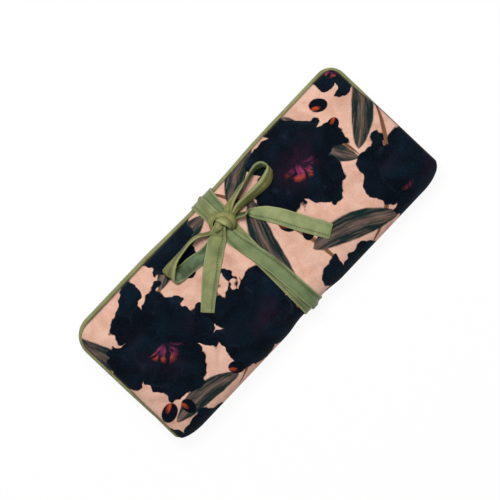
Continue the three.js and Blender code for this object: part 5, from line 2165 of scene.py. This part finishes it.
@dataclass
class Bow:
    """The bow: two loops, two tails and the knot. Rows are x, y and height over what lies below
    for one edge and for the other, in millimetres."""

    finishes: Finishes
    ground: Ground
    # each strap takes a copy of the sateen with its own painted lit and shaded tones: pale for the right tail
    # that lies flat in the light, warm and darker for the loops and the knot
    plain: Strap = Strap(Cast.PLAIN, hem_first=False)
    pale: Strap = Strap(Cast.PALE, hem_first=False)
    warm: Strap = Strap(Cast.WARM)
    knot: Strap = Strap(Cast.WARM, thickness=1.6 * MM)
    lower_loop: tuple = (
        (-3.0, 26.0, 1.5, -3.0, 32.0, 0.6), (-9.0, 25.2, 1.6, -8.2, 31.4, 0.4),
        (-14.8, 23.6, 0.7, -11.6, 30.2, 0.2), (-20.6, 21.9, 0.2, -17.3, 29.2, 0),
        (-27.1, 19.6, 0, -25.1, 29.0, 0), (-32.6, 20.6, 0, -30.6, 30.3, 0),
        (-39.2, 21.5, 0, -36.1, 31.5, 0), (-44.5, 22.0, 0.3, -41.4, 31.9, 0),
        (-49.0, 22.8, 1.2, -46.1, 32.9, 0.2), (-51.8, 24.0, 2.6, -50.4, 34.6, 0.6),
        (-52.6, 25.4, 3.9, -53.4, 36.8, 1.0), (-51.2, 27.2, 5.6, -52.7, 37.8, 0.6),
        (-48.3, 29.7, 7.4, -50.6, 38.0, 0.3), (-44.7, 32.2, 8.9, -46.9, 38.2, 0.2),
        (-41.2, 34.0, 9.7, -42.8, 37.9, 0.2), (-36.8, 35.0, 10.1, -38.0, 37.8, 0.2),
        (-32.6, 35.7, 10.2, -33.4, 37.8, 0.2), (-28.4, 36.2, 10.1, -29.0, 38.0, 0.2),
        (-24.6, 36.1, 9.8, -24.5, 38.0, 0.2), (-20.8, 35.3, 8.8, -20.3, 37.4, 0.3),
        (-17.8, 33.7, 6.8, -16.7, 35.8, 0.5), (-14.4, 31.3, 4.0, -12.9, 33.3, 0.6),
        (-10.0, 29.4, 2.2, -8.6, 31.6, 0.5), (-4.8, 28.2, 1.4, -3.8, 30.4, 0.4))
    lower_tail: tuple = (
        (-2.6, 32.6, 4.6, -1.4, 27.8, 4.0), (-5.4, 33.6, 5.2, -2.8, 26.2, 4.0),
        (-8.3, 33.2, 4.0, -4.2, 24.6, 2.6), (-12.0, 31.9, 2.0, -5.8, 22.8, 1.2),
        (-15.8, 30.3, 0.6, -8.0, 20.6, 0.3), (-22.6, 26.1, 0, -13.8, 16.9, 0),
        (-29.7, 21.3, 0.2, -21.5, 11.8, 0), (-37.5, 15.4, 0, -29.5, 6.8, 0.2),
        (-44.9, 9.0, 0, -37.7, 1.2, 0.3), (-52.0, 2.8, 0.3, -45.5, -4.3, 0.1),
        (-55.8, -0.5, 0.5, -49.7, -7.7, 0.1))
    upper_loop: tuple = (
        (4.8, 29.4, 2.4, 2.4, 34.4, 0.8), (9.4, 31.4, 5.2, 6.4, 36.2, 0.6),
        (13.0, 33.5, 7.4, 10.8, 37.3, 0.5), (19.4, 35.7, 9.3, 17.5, 38.2, 0.3),
        (26.0, 37.4, 10.0, 24.9, 38.9, 0.2), (31.2, 39.5, 10.2, 30.9, 38.6, 0.2),
        (36.4, 41.2, 9.8, 36.1, 38.6, 0.2), (41.2, 42.3, 9.1, 40.1, 38.3, 0.2),
        (45.4, 41.4, 8.3, 43.4, 36.8, 0.3), (47.6, 38.6, 8.2, 46.2, 34.9, 0.4),
        (47.2, 35.4, 8.8, 47.6, 31.9, 0.4), (43.9, 33.7, 8.6, 45.9, 28.4, 0.3),
        (37.5, 32.5, 7.6, 40.4, 25.2, 0.2), (30.6, 32.0, 7.9, 32.6, 25.3, 0.2),
        (23.7, 32.3, 8.7, 23.8, 26.7, 0.2), (18.0, 32.7, 8.6, 17.3, 28.0, 0.3),
        (12.9, 32.5, 7.7, 12.6, 28.0, 0.5), (9.3, 31.4, 6.0, 9.1, 27.5, 0.6),
        (4.8, 29.8, 3.2, 5.0, 27.4, 0.8))
    right_tail: tuple = (
        (3.6, 27.4, 3.0, 5.2, 29.4, 0.8), (6.9, 26.0, 5.4, 8.2, 28.2, 0.7),
        (10.0, 23.9, 7.4, 11.4, 26.8, 0.5), (12.4, 22.7, 8.6, 13.9, 25.4, 0.4),
        (14.8, 22.9, 8.8, 15.3, 24.2, 0.3), (16.3, 23.9, 7.4, 15.0, 22.6, 0.6),
        (17.8, 24.1, 4.4, 14.6, 20.9, 1.4), (19.4, 23.3, 1.8, 15.0, 19.0, 1.4),
        (22.6, 20.9, 0.5, 16.1, 16.2, 0.8), (27.6, 16.6, 0, 19.0, 11.2, 0.3),
        (31.5, 11.2, 0, 21.8, 5.7, 0.1), (34.9, 5.5, 0, 24.8, -0.4, 0.1), (39.4, -3.8, 0, 29.3, -9.7, 0.2),
        (43.8, -12.6, 0.2, 33.9, -18.2, 0), (47.0, -18.4, 0.4, 37.1, -24.0, 0),
        (49.6, -24.6, 0.8, 40.1, -30.0, 0.2))
    wrap: tuple = (
        (-3.9, 35.1, 0.3, 0.6, 35.6, 0.2), (-3.8, 34.4, 2.6, 3.0, 35.2, 0.8),
        (-3.5, 33.0, 5.0, 6.3, 33.6, 1.1), (-3.0, 31.0, 6.4, 8.2, 31.0, 1.4),
        (-2.4, 29.0, 6.9, 8.4, 28.6, 1.4), (-1.7, 27.2, 6.4, 7.2, 26.5, 1.2),
        (-1.1, 25.8, 4.8, 5.2, 25.1, 0.9), (-0.8, 24.9, 2.4, 3.0, 24.4, 0.5),
        (-0.7, 24.6, 0.3, 1.8, 24.2, 0.2))
    side_lobe: tuple = (
        (0.4, 38.2, 0.6, -0.6, 34.8, 2.4), (-2.0, 39.1, 1.0, -2.6, 35.4, 3.8),
        (-4.9, 39.2, 1.0, -4.9, 35.5, 4.4), (-7.2, 37.6, 0.8, -6.4, 34.6, 4.2),
        (-8.7, 35.2, 0.6, -7.5, 33.5, 3.4), (-9.4, 32.6, 0.4, -8.4, 32.0, 2.0))
    tail_root: tuple = (
        (-1.4, 33.0, 1.2, -1.4, 28.4, 1.0), (-2.8, 34.0, 3.2, -2.8, 28.4, 2.6),
        (-5.0, 34.2, 4.2, -4.4, 28.2, 3.2), (-6.9, 33.2, 3.9, -5.9, 28.3, 2.9),
        (-8.2, 31.6, 2.4, -6.9, 28.8, 1.8), (-8.7, 30.4, 1.0, -7.5, 29.2, 0.7))

    def build(self) -> None:
        """Lays the straps from the lowest to the highest."""
        self.place("tie_lower_loop", "tie_loop_lower", self.lower_loop, self.warm, 0.5 * MM, "folded", -1)
        self.place("tie_lower_tail", "tie_tail_lower", self.lower_tail, self.plain, 0.5 * MM, "laid")
        self.place("tie_right_tail", "tie_tail_right", self.right_tail, self.pale, 0.4 * MM, "laid")
        self.place("tie_upper_loop", "tie_loop_upper", self.upper_loop, self.warm, 0.5 * MM, "folded")
        self.place("tie_knot_side_lobe", "tie_crossing", self.side_lobe, self.knot, 1.1 * MM, "folded")
        self.place("tie_knot_front_lobe", "tie_crossing", self.tail_root, self.knot, 1.3 * MM, "folded")
        self.place("tie_knot_wrap", "tie_knot", self.wrap, self.knot, 1.7 * MM, "folded")

    def place(self, name: str, node: str, rows: Sequence[Sequence[float]], strap: Strap, arch: float,
              held: str, face: int = 1) -> None:
        """Lays one strap, covers it and hangs it on the tie.

        Args:
            name: name of the piece.
            node: the solid that it stands for.
            rows: its stations.
            strap: what it is made of.
            arch: how far its middle stands out.
            held: not used.
            face: 1 where the good side of the cloth is outside, -1 where its reverse is.
        """
        net = strap.lay(rows, self.ground, arch, len(rows))
        outward = 1.0 if net_normals(net)[len(net) // 4, :, 2].sum() > 0 else -1.0
        piece = strap.cover(name, net, self.finishes, outward, face)
        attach(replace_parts(piece, node), "tie")
        self.ground.raise_under(net + (0, 0, strap.thickness / 2), 3 * MM)


@dataclass(frozen=True)
class Studio:
    """White floor, soft light and the camera straight above."""

    tilt: float = math.radians(46.6)
    pixel: float = 0.6832 * MM
    shift_pixels: Pair = (-6.6, 2.2)
    picture: int = 500
    distance: float = 1.6
    waist_height: float = 18 * MM
    floor_size: float = 6.0
    glow: float = 0.93

    @property
    def right(self) -> Array:
        """Direction to the right of the picture."""
        return np.array([math.cos(self.tilt), -math.sin(self.tilt), 0.0])

    @property
    def up(self) -> Array:
        """Direction to the top of the picture."""
        return np.array([math.sin(self.tilt), math.cos(self.tilt), 0.0])

    def build(self) -> None:
        """Sets everything up."""
        self.set_camera()
        lamps = [self.lamp("key", -0.25 * self.right + 0.4 * self.up, 1.2, 0.4, 12.9),
                 self.lamp("fill", 0.8 * self.right - 0.5 * self.up, 1.0, 1.4, 2.0)]
        self.floor()
        world = bpy.data.worlds.new("studio")
        world.use_nodes = True
        background = world.node_tree.nodes["Background"].inputs
        background["Color"].default_value = (1, 1, 1, 1)
        background["Strength"].default_value = 0.22
        bpy.context.scene.world = world
        bpy.context.scene.view_settings.view_transform = "Standard"

    def set_camera(self) -> None:
        """The camera straight above, turned so that the roll lies as in the picture."""
        data = bpy.data.cameras.new("above")
        data.lens = 36 * self.distance / (self.picture * self.pixel)
        camera = linked("above", data)
        middle = (self.shift_pixels[0] * self.right + self.shift_pixels[1] * self.up) * self.pixel
        camera.location = (middle[0], middle[1], self.waist_height + self.distance)
        camera.rotation_euler = (0, 0, -self.tilt)
        bpy.context.scene.camera = camera

    def lamp(self, name: str, towards: Array, height: float, size: float, power: float) -> bpy.types.Object:
        """A soft square lamp that looks at the roll.

        Args:
            name: its name.
            towards: where it is in plan.
            height: how high it is.
            size: its edge.
            power: its strength in watts.

        Returns:
            The lamp.
        """
        data = bpy.data.lights.new(name, "AREA")
        data.size = size
        data.energy = power
        lamp = linked(name, data)
        lamp.location = (towards[0], towards[1], height)
        lamp.rotation_euler = Vector(lamp.location).to_track_quat("Z", "Y").to_euler()
        return lamp

    def floor(self) -> bpy.types.Object:
        """A white floor that keeps the roll's shadow."""
        half = self.floor_size / 2
        corners = np.array([(-half, -half, 0), (half, -half, 0), (half, half, 0), (-half, half, 0)])
        floor = make_piece("floor", corners - (0, 0, 0.2 * MM), [(0, 1, 2, 3)])
        canvas = Surface("floor_white")
        nodes, links = canvas.tree.nodes, canvas.tree.links
        grain = canvas.noise(canvas.place(), 40.0, 2.0)
        white = canvas.mix(grain * 0.02, (1, 1, 1, 1), (0.97, 0.97, 0.97, 1))
        canvas.finish(white, 0.9, Specular_IOR_Level=0.1)
        rays = canvas.node("LightPath").outputs
        camera, glossy, through = (Wire(canvas, rays[f"Is {kind} Ray"])
                                   for kind in ("Camera", "Glossy", "Transmission"))
        seen = canvas.math("MAXIMUM", canvas.math("MAXIMUM", camera, glossy), through)
        glow = canvas.node("Emission", Color=(1, 1, 1, 1), Strength=1.0)
        blend = canvas.node("MixShader", seen * self.glow)
        links.new(canvas.shader.outputs["BSDF"], blend.inputs[1])
        links.new(glow.outputs[0], blend.inputs[2])
        links.new(blend.outputs[0], nodes["Material Output"].inputs["Surface"])
        floor.data.materials.append(canvas.material)
        return floor


def main() -> None:
    """Builds the roll, its studio and its camera."""
    form = RollForm.from_frame()
    finishes = Finishes((form.rim_x, form.reach))
    panels = [Panel(form, side, finishes) for side in Side]
    for panel in panels:
        panel.build()
    Pockets(form, finishes).build()
    FlapFittings(form, finishes).build()
    ground = Ground()
    ground.spread(panels[0])
    Turns(panels, finishes, ground).build()
    Bow(finishes, ground).build()
    Studio().build()


if __name__ == "__main__":
    logging.basicConfig(level=logging.INFO, format="%(name)s %(message)s")
    main()
